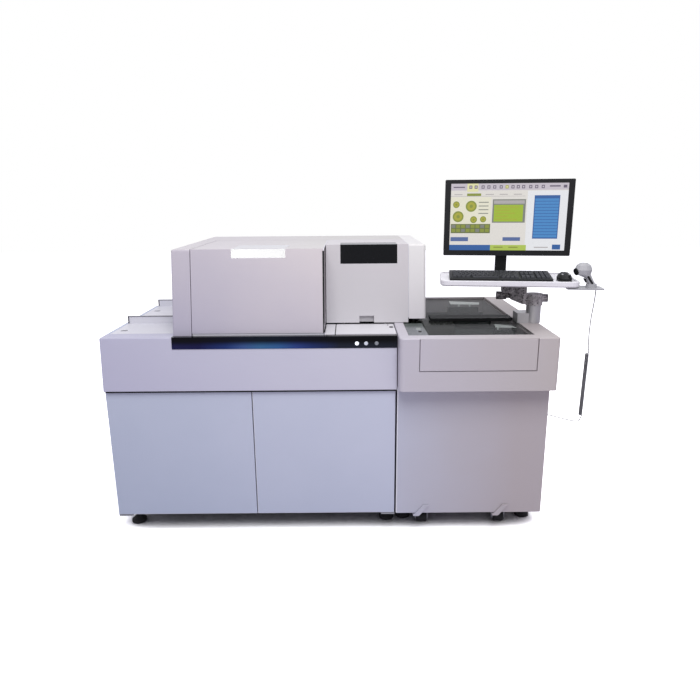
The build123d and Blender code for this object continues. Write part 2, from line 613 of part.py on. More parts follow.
GRIP_X = SPLIT_X - 121
with BuildPart() as stat_lid:
    s_from, s_to = LID_SPLIT_X + LID_GAP / 2, CAP_X - 3
    lid(STAT_FRONT, s_from, s_to, STAT_WINDOW,
        [(s_from, s_from + SHEET, 24), (s_to - SHEET, s_to, 24)])
    # Grip pocket in the lower edge: a notch backed by a shallow cup
    grip = rectangle(GRIP_X - 33, GRIP_X + 33, LID_FOOT_Z - 1, LID_FOOT_Z + 30)
    extrude_front(grip, STAT_FRONT - 20, STAT_FRONT + 30, mode=Mode.SUBTRACT)
    cup = rectangle(GRIP_X - 36, GRIP_X + 36, LID_FOOT_Z, LID_FOOT_Z + 34)
    extrude_front(cup, STAT_FRONT + 8, STAT_FRONT + 26)
    extrude_front(grip, STAT_FRONT - 20, STAT_FRONT + 22, mode=Mode.SUBTRACT)
write(stat_lid, "stat_lid")
lid_window("stat_lid_window", STAT_FRONT, STAT_WINDOW)

LEDGE_Z = 902.0
with BuildPart() as front_ledge:
    # Bent service panel in front of the recessed lid, standing on the band and the deck
    l_from, l_to = LID_SPLIT_X + 2, SPLIT_X - MODULE_GAP / 2
    extrude_side([(HOOD_FRONT + 2, TOP_Z), (HOOD_FRONT + 2, LEDGE_Z), (STAT_FRONT - 2, LEDGE_Z),
                  (STAT_FRONT - 2, DECK_Z), (STAT_FRONT - 2 - SHEET, DECK_Z),
                  (STAT_FRONT - 2 - SHEET, TOP_Z)], l_from, l_to)
    extrude_plan(rectangle(SPLIT_X - 261, SPLIT_X - 258, HOOD_FRONT, STAT_FRONT), LEDGE_Z - 2,
                 LEDGE_Z, mode=Mode.SUBTRACT)
    upright(SPLIT_X - 16, 160, LEDGE_Z - 3, LEDGE_Z, 8, mode=Mode.SUBTRACT)
write(front_ledge, "front_ledge")

# ---------------------------------------------------------------- cabinet doors
DOOR_SKIN = 3.0
DOOR_TOP_Z = 663.0
DOOR_FOOT_Z = BASE_Z + 3


def cabinet_door(builder_name, x_from, x_to, pivot_x):
    """Pan door with folded rim, closed at the front, and a pin at top and bottom."""
    with BuildPart() as door:
        extrude_front(rectangle(x_from, x_to, DOOR_FOOT_Z, DOOR_TOP_Z), 0, DOOR_THICK)
        chamfer(door.faces().sort_by(Axis.Y)[0].edges(), 2)
        inner = rectangle(x_from + 26, x_to - 26, DOOR_FOOT_Z + 26, DOOR_TOP_Z - 26)
        extrude_front(inner, DOOR_SKIN, DOOR_THICK, mode=Mode.SUBTRACT)
        upright(pivot_x, PIVOT_D, SILL_Z, DOOR_FOOT_Z, PIVOT_R)
        upright(pivot_x, PIVOT_D, DOOR_TOP_Z, BAND_Z + SHEET, PIVOT_R)
    write(door, builder_name)


cabinet_door("left_door", LEFT_X + 1, DIVIDER_X - 2, PIVOT_XS[0])
cabinet_door("right_door", DIVIDER_X + 2, CHASSIS_RIGHT - 2, PIVOT_XS[1])

# ---------------------------------------------------------------- cabinet contents
with BuildPart() as fluid_tanks:
    # Two blow-moulded tanks with screw necks on the floor of the left bay
    for tank_x in (DIVIDER_X - 430, DIVIDER_X - 190):
        plan = rectangle(tank_x - 100, tank_x + 100, 160, 480)
        extrude_plan(plan, FLOOR_Z, FLOOR_Z + 330, radius=30)
        prism(tank_x, 260, FLOOR_Z + 330, FLOOR_Z + 352, 34, 12)
        prism(tank_x, 260, FLOOR_Z + 352, FLOOR_Z + 382, 40, 16)
write(fluid_tanks, "fluid_tanks")

UNIT_WALL = 4.0
with BuildPart() as power_unit:
    # Housing of the power supply on the floor of the right bay, open at its back
    unit = rectangle(DIVIDER_X + 80, DIVIDER_X + 480, 140, 560)
    extrude_plan(unit, FLOOR_Z, FLOOR_Z + 240)
    inner = rectangle(DIVIDER_X + 80 + UNIT_WALL, DIVIDER_X + 480 - UNIT_WALL,
                      FLOOR_Z + UNIT_WALL, FLOOR_Z + 240 - UNIT_WALL)
    extrude_front(inner, 140 + UNIT_WALL, 561, mode=Mode.SUBTRACT)
    for row in range(7):
        z = FLOOR_Z + 40 + 16 * row
        slot = rectangle(DIVIDER_X + 120, DIVIDER_X + 300, z, z + 6)
        extrude_front(slot, 139, 150, mode=Mode.SUBTRACT)
    # Upright grip on the front
    extrude_front(rectangle(DIVIDER_X + 340, DIVIDER_X + 440, FLOOR_Z + 50, FLOOR_Z + 190),
                  132, 141)
write(power_unit, "power_unit")

# ---------------------------------------------------------------- feeder cabinet
FEEDER_LEFT = SPLIT_X + MODULE_GAP / 2
CASTER_D = 94.0
CASTER_XS = {"left": SPLIT_X + 126, "right": SPLIT_X + 480}
FEEDER_WALL = 3.0

with BuildPart() as feeder_cabinet:
    extrude_front(rectangle(FEEDER_LEFT, RIGHT_X, SILL_Z, BOX_Z), 20, DEPTH)
    chamfer(feeder_cabinet.edges().filter_by(Axis.Z).group_by(Axis.Y)[-1], 4)
    inner = rectangle(FEEDER_LEFT + FEEDER_WALL, RIGHT_X - FEEDER_WALL, FLOOR_Z,
                      BOX_Z - FEEDER_WALL)
    extrude_front(inner, 10, DEPTH - FEEDER_WALL, mode=Mode.SUBTRACT)
    for row in range(8):
        # Ventilation slots low in the back
        z = 150 + 22 * row
        slot = rectangle(SPLIT_X + 200, SPLIT_X + 450, z, z + 8)
        extrude_front(slot, DEPTH - 10, DEPTH + 1, mode=Mode.SUBTRACT)
    for caster_x in CASTER_XS.values():
        # Top bearing of the caster, and a slanted stay in front of the panel
        prism(caster_x, CASTER_D, SILL_Z - 2, SILL_Z, 26, 12)
        upright(caster_x, CASTER_D, SILL_Z - 2, SILL_Z + 8, 6.3, mode=Mode.SUBTRACT)
        extrude_plan(rectangle(caster_x - 47, caster_x - 21, -8, 40), SILL_Z - 4, SILL_Z)
        extrude_front([(caster_x - 47, SILL_Z - 6), (caster_x - 21, SILL_Z - 6),
                       (caster_x + 22, BASE_Z + 40), (caster_x - 4, BASE_Z + 40)], -8, -2)
write(feeder_cabinet, "feeder_cabinet")

with BuildPart() as feeder_front_panel:
    # Lift-off pan panel in front of the lower cabinet
    extrude_front(rectangle(FEEDER_LEFT, RIGHT_X, BASE_Z, BOX_Z - 2), 0, 19.5)
    chamfer(feeder_front_panel.edges().filter_by(Axis.Z).group_by(Axis.Y)[0], 3)
    inner = rectangle(FEEDER_LEFT + 24, RIGHT_X - 24, BASE_Z + 24, BOX_Z - 26)
    extrude_front(inner, 3, 20, mode=Mode.SUBTRACT)
write(feeder_front_panel, "feeder_front_panel")

# Upper box: thick front, rebates for the glass, an opening behind the drop-down flap
FLAP_X = (SPLIT_X + 85, SPLIT_X + 560)
FLAP_Z = (770.0, 903.0)
FLAP_THICK = 14.0
BOX_SKIN = 4.0
POCKET_GAP = 3.0
with BuildPart() as feeder_box:
    extrude_front(rectangle(FEEDER_LEFT, RIGHT_X, BOX_Z, BOX_TOP_Z), -BOX_PROUD, DEPTH)
    upright_edges = feeder_box.edges().filter_by(Axis.Z)
    fillet(upright_edges.group_by(Axis.Y)[0].sort_by(Axis.X)[0], 22)
    fillet(upright_edges.group_by(Axis.Y)[0].sort_by(Axis.X)[-1], 12)
    chamfer(feeder_box.faces().sort_by(Axis.Z)[-1].edges(), 3)
    well = rectangle(GLASS_LEFT_X + 8, GLASS_RIGHT_X - 8, GLASS_FRONT + 8, GLASS_REAR - 8)
    extrude_plan(well, LANE_Z - 14, BOX_TOP_Z + 1, mode=Mode.SUBTRACT)
    rebate = rectangle(GLASS_LEFT_X, GLASS_RIGHT_X, GLASS_FRONT, GLASS_REAR)
    extrude_plan(rebate, BOX_TOP_Z - 13, BOX_TOP_Z + 1, mode=Mode.SUBTRACT)
    # Hollow of the box: under the rack deck, in the overhang and in both side strips
    x_inner = (FEEDER_LEFT + FEEDER_WALL, RIGHT_X - FEEDER_WALL)
    d_front, d_rear = -BOX_PROUD + BOX_SKIN, DEPTH - FEEDER_WALL
    extrude_plan(rectangle(*x_inner, d_front, d_rear), BOX_Z + BOX_SKIN,
                 FLAP_Z[0] - POCKET_GAP - BOX_SKIN, mode=Mode.SUBTRACT, radius=18)
    extrude_plan(rectangle(*x_inner, CHASSIS_FRONT, d_rear - 20), BOX_Z - 1, LANE_Z - 20,
                 mode=Mode.SUBTRACT)
    for strip in ((x_inner[0], GLASS_LEFT_X - BOX_SKIN), (GLASS_RIGHT_X + BOX_SKIN, x_inner[1])):
        extrude_plan(rectangle(*strip, d_front, d_rear), BOX_Z + BOX_SKIN, BOX_TOP_Z - BOX_SKIN,
                     mode=Mode.SUBTRACT, radius=16)
    # Pocket of the flap, and the loading slot through the wall behind it
    pocket = rectangle(FLAP_X[0] - POCKET_GAP, FLAP_X[1] + POCKET_GAP, FLAP_Z[0] - POCKET_GAP,
                       FLAP_Z[1] + 1)
    extrude_front(pocket, -BOX_PROUD - 1, -BOX_PROUD + FLAP_THICK + 2, mode=Mode.SUBTRACT)
    slot = rectangle(FLAP_X[0] + 22, FLAP_X[1] - 22, LANE_Z + 2, FLAP_Z[1] - 8)
    extrude_front(slot, -BOX_PROUD - 1, GLASS_FRONT + 10, mode=Mode.SUBTRACT)
write(feeder_box, "feeder_box")

with BuildPart() as feeder_flap:
    extrude_front(rectangle(*FLAP_X, *FLAP_Z), -BOX_PROUD, -BOX_PROUD + FLAP_THICK)
    chamfer(feeder_flap.faces().sort_by(Axis.Y)[0].edges(), 1.5)
    inner = rectangle(FLAP_X[0] + 16, FLAP_X[1] - 16, FLAP_Z[0] + 22, FLAP_Z[1] - 12)
    extrude_front(inner, -BOX_PROUD + 4, -BOX_PROUD + FLAP_THICK, mode=Mode.SUBTRACT)
write(feeder_flap, "feeder_flap")

with BuildPart() as rear_glass:
    pane = rectangle(GLASS_LEFT_X + 1, GLASS_RIGHT_X - 1, GLASS_JOINT, GLASS_REAR - 1)
    extrude_plan(pane, BOX_TOP_Z - 13, BOX_TOP_Z - 13 + GLASS)
    # The sample probe dips through here, under the overhang of the hood
    dip = rectangle(SPLIT_X + 62, SPLIT_X + 112, 578, 632)
    extrude_plan(dip, BOX_TOP_Z - 14, BOX_TOP_Z, mode=Mode.SUBTRACT, radius=6)
write(rear_glass, "rear_glass")

COVER_FOOT_Z = BOX_TOP_Z - 13 + GLASS + 2
with BuildPart() as sliding_cover:
    # Front pane that slides back over the fixed one, with its grip rail at the joint
    pane = rectangle(GLASS_LEFT_X + 1, GLASS_RIGHT_X - 1, GLASS_FRONT + 1, GLASS_JOINT + 4)
    extrude_plan(pane, COVER_FOOT_Z, COVER_FOOT_Z + GLASS)
    # Grip rail along its rear edge
    extrude_plan(rectangle(GLASS_LEFT_X + 130, GLASS_RIGHT_X - 17, GLASS_JOINT - 76, GLASS_JOINT + 4),
                 COVER_FOOT_Z + GLASS, COVER_FOOT_Z + GLASS + 14)
    # Runners along both sides stand in the rebate, in front of the fixed pane
    for runner_x in (GLASS_LEFT_X + 1, GLASS_RIGHT_X - 7):
        runner = rectangle(runner_x, runner_x + 6, GLASS_FRONT + 8, GLASS_FRONT + 50)
        extrude_plan(runner, BOX_TOP_Z - 13 + 0.5, COVER_FOOT_Z)
write(sliding_cover, "sliding_cover")

LANE_LEFT = GLASS_LEFT_X + 10
LANE_RIGHT = GLASS_RIGHT_X - 10
RACK_PITCH = 34.0
with BuildPart() as rack_lanes:
    # Deck plate with guide rails, a transport channel and two light lane markers
    lanes = rectangle(LANE_LEFT, LANE_RIGHT, GLASS_FRONT + 10, GLASS_REAR - 10)
    extrude_plan(lanes, LANE_Z - 14, LANE_Z - 8)
    for rail_d in (0, 118, 325, 352, 560, 700, 905):
        extrude_plan(rectangle(LANE_LEFT, LANE_RIGHT, rail_d, rail_d + 6), LANE_Z - 8, LANE_Z + 22)
    for marker in ((SPLIT_X + 328, SPLIT_X + 492, 733, 747), (SPLIT_X + 438, SPLIT_X + 535, 162, 172)):
        extrude_plan(rectangle(*marker), LANE_Z - 8, LANE_Z + 84)
    # Belt bed that carries racks along the back of the front bay
    extrude_plan(rectangle(LANE_LEFT + 14, LANE_RIGHT - 14, 362, 552), LANE_Z - 8, LANE_Z + 6)
write(rack_lanes, "rack_lanes")

RACK_SIZE = (236.0, 22.0)
RACKS = ((SPLIT_X + 150, 30.0), (SPLIT_X + 150, 64.0), (SPLIT_X + 70, 390.0),
         (SPLIT_X + 70, 424.0))
TUBES = 10
with BuildPart() as sample_racks:
    for rack_x, rack_d in RACKS:
        plan = rectangle(rack_x, rack_x + RACK_SIZE[0], rack_d, rack_d + RACK_SIZE[1])
        foot = LANE_Z + (6 if rack_d > GLASS_JOINT else -8)
        extrude_plan(plan, foot, foot + 52)
        for index in range(TUBES):
            tube_x = rack_x + 14 + index * (RACK_SIZE[0] - 28) / (TUBES - 1)
            with BuildSketch(Plane((tube_x, depth(rack_d + RACK_SIZE[1] / 2), foot + 52))) as tube:
                RegularPolygon(7, 6)
            extrude(tube.sketch, amount=24)
write(sample_racks, "sample_racks")

# ---------------------------------------------------------------- feet and casters
FOOT_XDS = [(LEFT_X + 52, 100), (SPLIT_X - 34, 115), (LEFT_X + 52, 860), (SPLIT_X - 34, 860),
            (LEFT_X + 610, 860), (SPLIT_X + 44, 132), (SPLIT_X + 606, 131),
            (SPLIT_X + 44, 870), (SPLIT_X + 606, 870)]
with BuildPart() as levelling_feet:
    for foot_x, foot_d in FOOT_XDS:
        # Rubber pad, sloping cup and threaded stem with its lock nut
        prism(foot_x, foot_d, 0, 14, 33, 12)
        prism(foot_x, foot_d, 14, 30, 33, 12, taper=50)
        prism(foot_x, foot_d, 30, SILL_Z, 9, 6)
        prism(foot_x, foot_d, 66, SILL_Z, 17, 6)
write(levelling_feet, "levelling_feet")

WHEEL_R = 25.0
TRAIL = 14.0
TREAD = 46.0
CHEEK = 29.0                               # half the width over the fork
for side, caster_x in CASTER_XS.items():
    wheel_d = CASTER_D - TRAIL
    with BuildPart() as fork:
        # Swivel pin, crown plate and two cheeks that hold the axle
        upright(caster_x, CASTER_D, 60, SILL_Z + 2.5, 6)
        prism(caster_x, CASTER_D, 60, SILL_Z - 2.5, 22, 12)
        extrude_plan(rectangle(caster_x - CHEEK, caster_x + CHEEK, CASTER_D - 22, CASTER_D + 18),
                     60, 66)
        for cheek_x in (caster_x - CHEEK, caster_x + CHEEK - 4):
            extrude_side([(wheel_d - 12, WHEEL_R - 9), (wheel_d + 12, WHEEL_R - 9),
                          (CASTER_D + 18, 62), (CASTER_D - 22, 62)], cheek_x, cheek_x + 4)
        across(wheel_d, WHEEL_R, caster_x - CHEEK, caster_x + CHEEK, 4)
    write(fork, f"caster_fork_{side}")
    with BuildPart() as wheel:
        across(wheel_d, WHEEL_R, caster_x - TREAD / 2, caster_x + TREAD / 2, WHEEL_R)
        chamfer(wheel.edges(), 3)
        across(wheel_d, WHEEL_R, caster_x - TREAD, caster_x + TREAD, 4.08, mode=Mode.SUBTRACT)
    write(wheel, f"caster_wheel_{side}")

# ---------------------------------------------------------------- console arm
SLEEVE_Z = (986.0, 1036.0)
POST_TOP_Z = 1032.0
PIVOT_TOP_R = 22.0
with BuildPart() as arm_post:
    # Tube on the box with a low base block beside it, reduced at the top for the sleeve
    upright(POST_X, POST_D, BOX_TOP_Z, SLEEVE_Z[0] - 1, POST_R)
    upright(POST_X, POST_D, SLEEVE_Z[0] - 1, POST_TOP_Z, PIVOT_TOP_R)
    base = [(POST_X - 76, 208), (POST_X + 22, 202), (POST_X + 22, 292), (POST_X - 76, 282)]
    extrude_plan(base, BOX_TOP_Z, BOX_TOP_Z + 45, radius=5)
write(arm_post, "arm_post")


def console_plane(x=0.0, y=0.0, z=0.0):
    """Level plane of the console: origin on the post axis, turned with the swivel."""
    level = Plane((POST_X, POST_Y, z)).rotated((0, 0, CONSOLE_TURN))
    return Plane(level.from_local_coords(Vector(x, y, 0)), x_dir=level.x_dir, z_dir=(0, 0, 1))


def console_plan(points, z_from, z_to, mode=Mode.ADD, radius=0):
    """Extrude an outline of console (x, y) points between two heights."""
    with BuildSketch(console_plane(z=z_from)) as outline:
        with BuildLine():
            Polyline(*points, close=True)
        make_face()
        if radius:
            fillet(outline.vertices(), radius)
    extrude(outline.sketch, amount=z_to - z_from, mode=mode)


def console_side(points, x_from, x_to, mode=Mode.ADD, radius=0):
    """Extrude an outline of console (y, z) points between two console X stations."""
    level = console_plane(x=x_from)
    side = Plane(level.origin, x_dir=level.y_dir, z_dir=level.x_dir)
    with BuildSketch(side) as outline:
        with BuildLine():
            Polyline(*points, close=True)
        make_face()
        if radius:
            fillet(outline.vertices(), radius)
    extrude(outline.sketch, amount=x_to - x_from, mode=mode)


def console_front(points, y_from, y_to, mode=Mode.ADD, radius=0):
    """Extrude an outline of console (x, z) points from one console Y to another."""
    with BuildSketch(console_face(y_from)) as outline:
        with BuildLine():
            Polyline(*points, close=True)
        make_face()
        if radius:
            fillet(outline.vertices(), radius)
    extrude(outline.sketch, amount=y_from - y_to, mode=mode)


def console_face(y):
    """Upright plane across the console at a console Y, its normal towards the operator."""
    level = console_plane(y=y)
    return Plane(level.origin, x_dir=level.x_dir, z_dir=-level.y_dir)


def console_rod(y, z, x_from, x_to, r, mode=Mode.ADD):
    """A cylinder along the console's X."""
    level = console_plane(x=x_from)
    side = Plane(level.origin, x_dir=level.y_dir, z_dir=level.x_dir)
    with BuildSketch(side) as disc:
        with Locations((y, z)):
            Circle(r)
    extrude(disc.sketch, amount=x_to - x_from, mode=mode)


def console_knob(y, z, x_from, x_to, r, sides=12):
    """A knob or rod of many flats along the console's X."""
    level = console_plane(x=x_from)
    side = Plane(level.origin, x_dir=level.y_dir, z_dir=level.x_dir)
    with BuildSketch(side) as section:
        with Locations((y, z)):
            RegularPolygon(r, sides)
    extrude(section.sketch, amount=x_to - x_from)


def console_ring(x, y, z, rx, ry, sides=14):
    """Many-sided oval about a console point, a section for lofting."""
    steps = [radians(360 / sides * index) for index in range(sides)]
    with BuildSketch(console_plane(x, y, z)) as oval:
        with BuildLine():
            Polyline(*[(rx * cos(step), ry * sin(step)) for step in steps], close=True)
        make_face()
    return oval.sketch.face()


TRAY_FOOT_Z = TRAY_TOP_Z - TRAY_THICK
with BuildPart() as console_arm:
    # Clamp sleeve on the post, its knob, a rising link and the tilt head under the tray
    upright(POST_X, POST_D, *SLEEVE_Z, 37)
    upright(POST_X, POST_D, SLEEVE_Z[0] - 1, POST_TOP_Z + 1, PIVOT_TOP_R + RUN_CLEARANCE,
            mode=Mode.SUBTRACT)
    console_knob(0, 1017, 30, 58, 18)
    console_front([(-30, 990), (-52, 990), (-106, 1012), (-106, 1052), (-72, 1052),
                   (-30, 1034)], -20, 20)
    console_knob(0, 1026, -166, -60, 12)
    console_knob(0, 1026, -166, -122, 18)
    console_plan([(-142, -44), (-40, -44), (-40, 44), (-142, 44)], 1042, TRAY_FOOT_Z)
write(console_arm, "console_arm")

TRAY = (-418.0, 156.0, -172.0, 152.0)      # console x from, to, y from, to
with BuildPart() as console_tray:
    with BuildSketch(console_plane(z=TRAY_FOOT_Z)) as plan:
        with Locations(((TRAY[0] + TRAY[1]) / 2, (TRAY[2] + TRAY[3]) / 2)):
            RectangleRounded(TRAY[1] - TRAY[0], TRAY[3] - TRAY[2], 34)
    extrude(amount=TRAY_THICK)
    chamfer(console_tray.faces().sort_by(Axis.Z)[0].edges(), 5)
    chamfer(console_tray.faces().sort_by(Axis.Z)[-1].edges(), 2)
    with BuildSketch(console_plane(z=TRAY_TOP_Z)) as dish:
        with Locations(((TRAY[0] + TRAY[1]) / 2, (TRAY[2] + TRAY[3]) / 2)):
            RectangleRounded(TRAY[1] - TRAY[0] - 24, TRAY[3] - TRAY[2] - 24, 24)
    extrude(dish.sketch, amount=-4, mode=Mode.SUBTRACT)
write(console_tray, "console_tray")
DISH_Z = TRAY_TOP_Z - 4

# ---------------------------------------------------------------- monitor, keyboard, mouse
MONITOR_X = -128.0
NECK_X = -142.0                             # the stand is a little off the middle
MONITOR_W = 556.0
MONITOR_Z = (1197.0, 1529.0)
MONITOR_Y = 58.0                            # front of the bezel
MONITOR_DEEP = 34.0
BEZEL_SIDE = 26.0
BEZEL_FOOT = 24.0
BEZEL_TOP = 17.0
SCREEN_W = MONITOR_W - 2 * BEZEL_SIDE
SCREEN_H = MONITOR_Z[1] - MONITOR_Z[0] - BEZEL_FOOT - BEZEL_TOP
SCREEN_Z = MONITOR_Z[0] + BEZEL_FOOT + SCREEN_H / 2
TILT_Z = 1330.0
TILT_Y = MONITOR_Y + 62
with BuildPart() as monitor_stand:
    with BuildSketch(console_plane(z=DISH_Z)):
        with Locations((NECK_X, 86)):
            RectangleRounded(230, 100, 30)
    extrude(amount=10)
    chamfer(monitor_stand.faces().sort_by(Axis.Z)[-1].edges(), 3)
    neck = [(TILT_Y - 12, DISH_Z + 10), (TILT_Y + 12, DISH_Z + 10), (TILT_Y + 10, TILT_Z + 16),
            (TILT_Y - 10, TILT_Z + 16)]
    console_side(neck, NECK_X - 25, NECK_X + 25)
    ears = rectangle(TILT_Y - 20, TILT_Y + 20, TILT_Z - 20, TILT_Z + 20)
    console_side(ears, NECK_X - 14, NECK_X + 14, mode=Mode.SUBTRACT)
    console_rod(TILT_Y, TILT_Z, NECK_X - 26, NECK_X + 26, 5)
write(monitor_stand, "monitor_stand")

with BuildPart() as monitor_shell:
    # Flat front frame, a back that swells towards the middle, and the tilt lug
    face = console_face(MONITOR_Y)
    with BuildSketch(face):
        with Locations((MONITOR_X, sum(MONITOR_Z) / 2)):
            RectangleRounded(MONITOR_W, MONITOR_Z[1] - MONITOR_Z[0], 5)
    extrude(amount=-20)
    with BuildSketch(face.offset(-20)) as back_rim:
        with Locations((MONITOR_X, sum(MONITOR_Z) / 2)):
            Rectangle(MONITOR_W - 30, MONITOR_Z[1] - MONITOR_Z[0] - 30)
        chamfer(back_rim.vertices(), 12)
    with BuildSketch(face.offset(-20 - MONITOR_DEEP / 2)) as back_crown:
        with Locations((MONITOR_X, sum(MONITOR_Z) / 2)):
            Rectangle(MONITOR_W - 190, MONITOR_Z[1] - MONITOR_Z[0] - 120)
        chamfer(back_crown.vertices(), 12)
    loft([back_rim.sketch.face(), back_crown.sketch.face()], ruled=True)
    with BuildSketch(face) as opening:
        with Locations((MONITOR_X, SCREEN_Z)):
            Rectangle(SCREEN_W, SCREEN_H)
    extrude(opening.sketch, amount=-6, mode=Mode.SUBTRACT)
    lug = rectangle(MONITOR_Y + 30, TILT_Y + 9, TILT_Z - 14, TILT_Z + 14)
    console_side(lug, NECK_X - 13.5, NECK_X + 13.5)
    console_rod(TILT_Y, TILT_Z, NECK_X - 14, NECK_X + 14, 5.08, mode=Mode.SUBTRACT)
write(monitor_shell, "monitor_shell")

with BuildPart() as monitor_screen:
    with BuildSketch(face.offset(-2)):
        with Locations((MONITOR_X, SCREEN_Z)):
            Rectangle(SCREEN_W, SCREEN_H)
    extrude(amount=-4)
write(monitor_screen, "monitor_screen")

KEYBOARD = (-378.0, 52.0, -132.0, 18.0)
KEYBOARD_RISE = 18.0                       # its rear edge stands on two small legs
KEY = 16.2
KEY_PITCH = 18.6
KEY_ROWS = 5
with BuildPart() as keyboard:
    k_left, k_right, k_front, k_back = KEYBOARD
    console_side([(k_front, DISH_Z), (k_front, DISH_Z + 10), (k_back, DISH_Z + 10 + KEYBOARD_RISE),
                  (k_back, DISH_Z + 10), (k_front + 50, DISH_Z)], k_left, k_right)
    chamfer(keyboard.edges().filter_by(Axis.Z), 4)
    for leg_x in (k_left + 20, k_right - 44):
        console_side([(k_back - 22, DISH_Z), (k_back - 22, DISH_Z + 12), (k_back - 6, DISH_Z + 16),
                      (k_back - 14, DISH_Z)], leg_x, leg_x + 24)
    # Raised key banks: main field, navigation block and number pad, one bar per row
    banks = ((k_left + 12, 15 * KEY_PITCH), (k_left + 12 + 15.5 * KEY_PITCH, 3 * KEY_PITCH),
             (k_left + 12 + 19 * KEY_PITCH - 2, 3 * KEY_PITCH))
    for row in range(1, KEY_ROWS + 1):
        y = k_front + 14 + row * KEY_PITCH + (5 if row == KEY_ROWS else 0)
        z = DISH_Z + 10 + KEYBOARD_RISE * (y - k_front) / (k_back - k_front)
        for bank_x, bank_w in banks:
            console_side([(y - KEY / 2, z - 1), (y - KEY / 2 + 1, z + 6),
                          (y + KEY / 2 - 1, z + 7.6), (y + KEY / 2, z)], bank_x, bank_x + bank_w)
    # Bottom row: modifier keys either side of the space bar, whose well is open
    y = k_front + 14
    z = DISH_Z + 10 + KEYBOARD_RISE * (y - k_front) / (k_back - k_front)
    for bank_x, bank_w in ((k_left + 12, 4.5 * KEY_PITCH),
                           (k_left + 12 + 10.6 * KEY_PITCH, 4.4 * KEY_PITCH), banks[1], banks[2]):
        console_side([(y - KEY / 2, z - 1), (y - KEY / 2 + 1, z + 6), (y + KEY / 2 - 1, z + 7.6),
                      (y + KEY / 2, z)], bank_x, bank_x + bank_w)
    space = (k_left + 12 + 4.6 * KEY_PITCH, k_left + 12 + 10.5 * KEY_PITCH)
    console_side(rectangle(y - KEY / 2, y + KEY / 2, z - 5, z + 20), *space, mode=Mode.SUBTRACT)
write(keyboard, "keyboard")

with BuildPart() as space_bar:
    console_side([(y - KEY / 2 + 0.6, z - 1.2), (y - KEY / 2 + 1.4, z + 6),
                  (y + KEY / 2 - 1.4, z + 6.6), (y + KEY / 2 - 0.6, z - 1.2)],
                 space[0] + 0.6, space[1] - 0.6)
write(space_bar, "space_bar")

MOUSE = (102.0, -99.0)
with BuildPart() as mouse_body:
    # Low egg-shaped shell with a slot for the wheel
    loft([console_ring(*MOUSE, DISH_Z, 30, 54), console_ring(*MOUSE, DISH_Z + 14, 31, 55),
          console_ring(MOUSE[0], MOUSE[1] + 2, DISH_Z + 27, 25, 44),
          console_ring(MOUSE[0], MOUSE[1] + 4, DISH_Z + 35, 13, 26)], ruled=True)
    console_side(rectangle(MOUSE[1] + 13, MOUSE[1] + 35, DISH_Z + 14, DISH_Z + 60),
                 MOUSE[0] - 4, MOUSE[0] + 4, mode=Mode.SUBTRACT)
    console_rod(MOUSE[1] + 24, DISH_Z + 25, MOUSE[0] - 7, MOUSE[0] + 7, 1.58, mode=Mode.SUBTRACT)
write(mouse_body, "mouse_body")

with BuildPart() as mouse_wheel:
    console_knob(MOUSE[1] + 24, DISH_Z + 25, MOUSE[0] - 3.2, MOUSE[0] + 3.2, 10)
    console_rod(MOUSE[1] + 24, DISH_Z + 25, MOUSE[0] - 6.8, MOUSE[0] + 6.8, 1.5)
write(mouse_wheel, "mouse_wheel")

# ---------------------------------------------------------------- barcode scanner on its stand
STAND = (106.0, 252.0, -168.0, -70.0)
STAND_Z = (1079.0, 1084.0)
HANDLE_FOOT = (208.0, -122.0)              # console point where the grip enters its cup
HANDLE_TOP = (172.0, -118.0)
HEAD_Z = 1154.0
with BuildPart() as scanner_stand:
    # Thin side plate under the tray's end, with the cup that holds the grip
    with BuildSketch(console_plane(z=STAND_Z[0])):
        with Locations(((STAND[0] + STAND[1]) / 2, (STAND[2] + STAND[3]) / 2)):
            RectangleRounded(STAND[1] - STAND[0], STAND[3] - STAND[2], 10)
    extrude(amount=STAND_Z[1] - STAND_Z[0])
    console_plan([(TRAY[1] - 34, -150), (TRAY[1] - 8, -150), (TRAY[1] - 8, -90),
                  (TRAY[1] - 34, -90)], STAND_Z[1], TRAY_FOOT_Z)
    with BuildSketch(console_plane(*HANDLE_FOOT, STAND_Z[1])):
        RegularPolygon(23, 14)
    extrude(amount=16, taper=6)
    with BuildSketch(console_plane(*HANDLE_FOOT, STAND_Z[1] + 16)) as bore:
        RegularPolygon(15.6, 14)
    extrude(bore.sketch, amount=-14, mode=Mode.SUBTRACT)
write(scanner_stand, "scanner_stand")


def trigger_outline(shift_from, shift_to, margin=0.0):
    """Console (x, z) outline that follows the sloping front of the grip."""
    low, high = STAND_Z[1] + 20 - margin, STAND_Z[1] + 37 + margin
    slope = (HANDLE_FOOT[0] - GRIP_TOP[0] + 1) / (GRIP_TOP_Z - STAND_Z[1] - 16)
    left = HANDLE_FOOT[0] - 15
    low_x = left - slope * (low - STAND_Z[1] - 16)
    high_x = left - slope * (high - STAND_Z[1] - 16)
    return [(low_x + shift_from, low), (high_x + shift_from, high), (high_x + shift_to, high),
            (low_x + shift_to, low)]


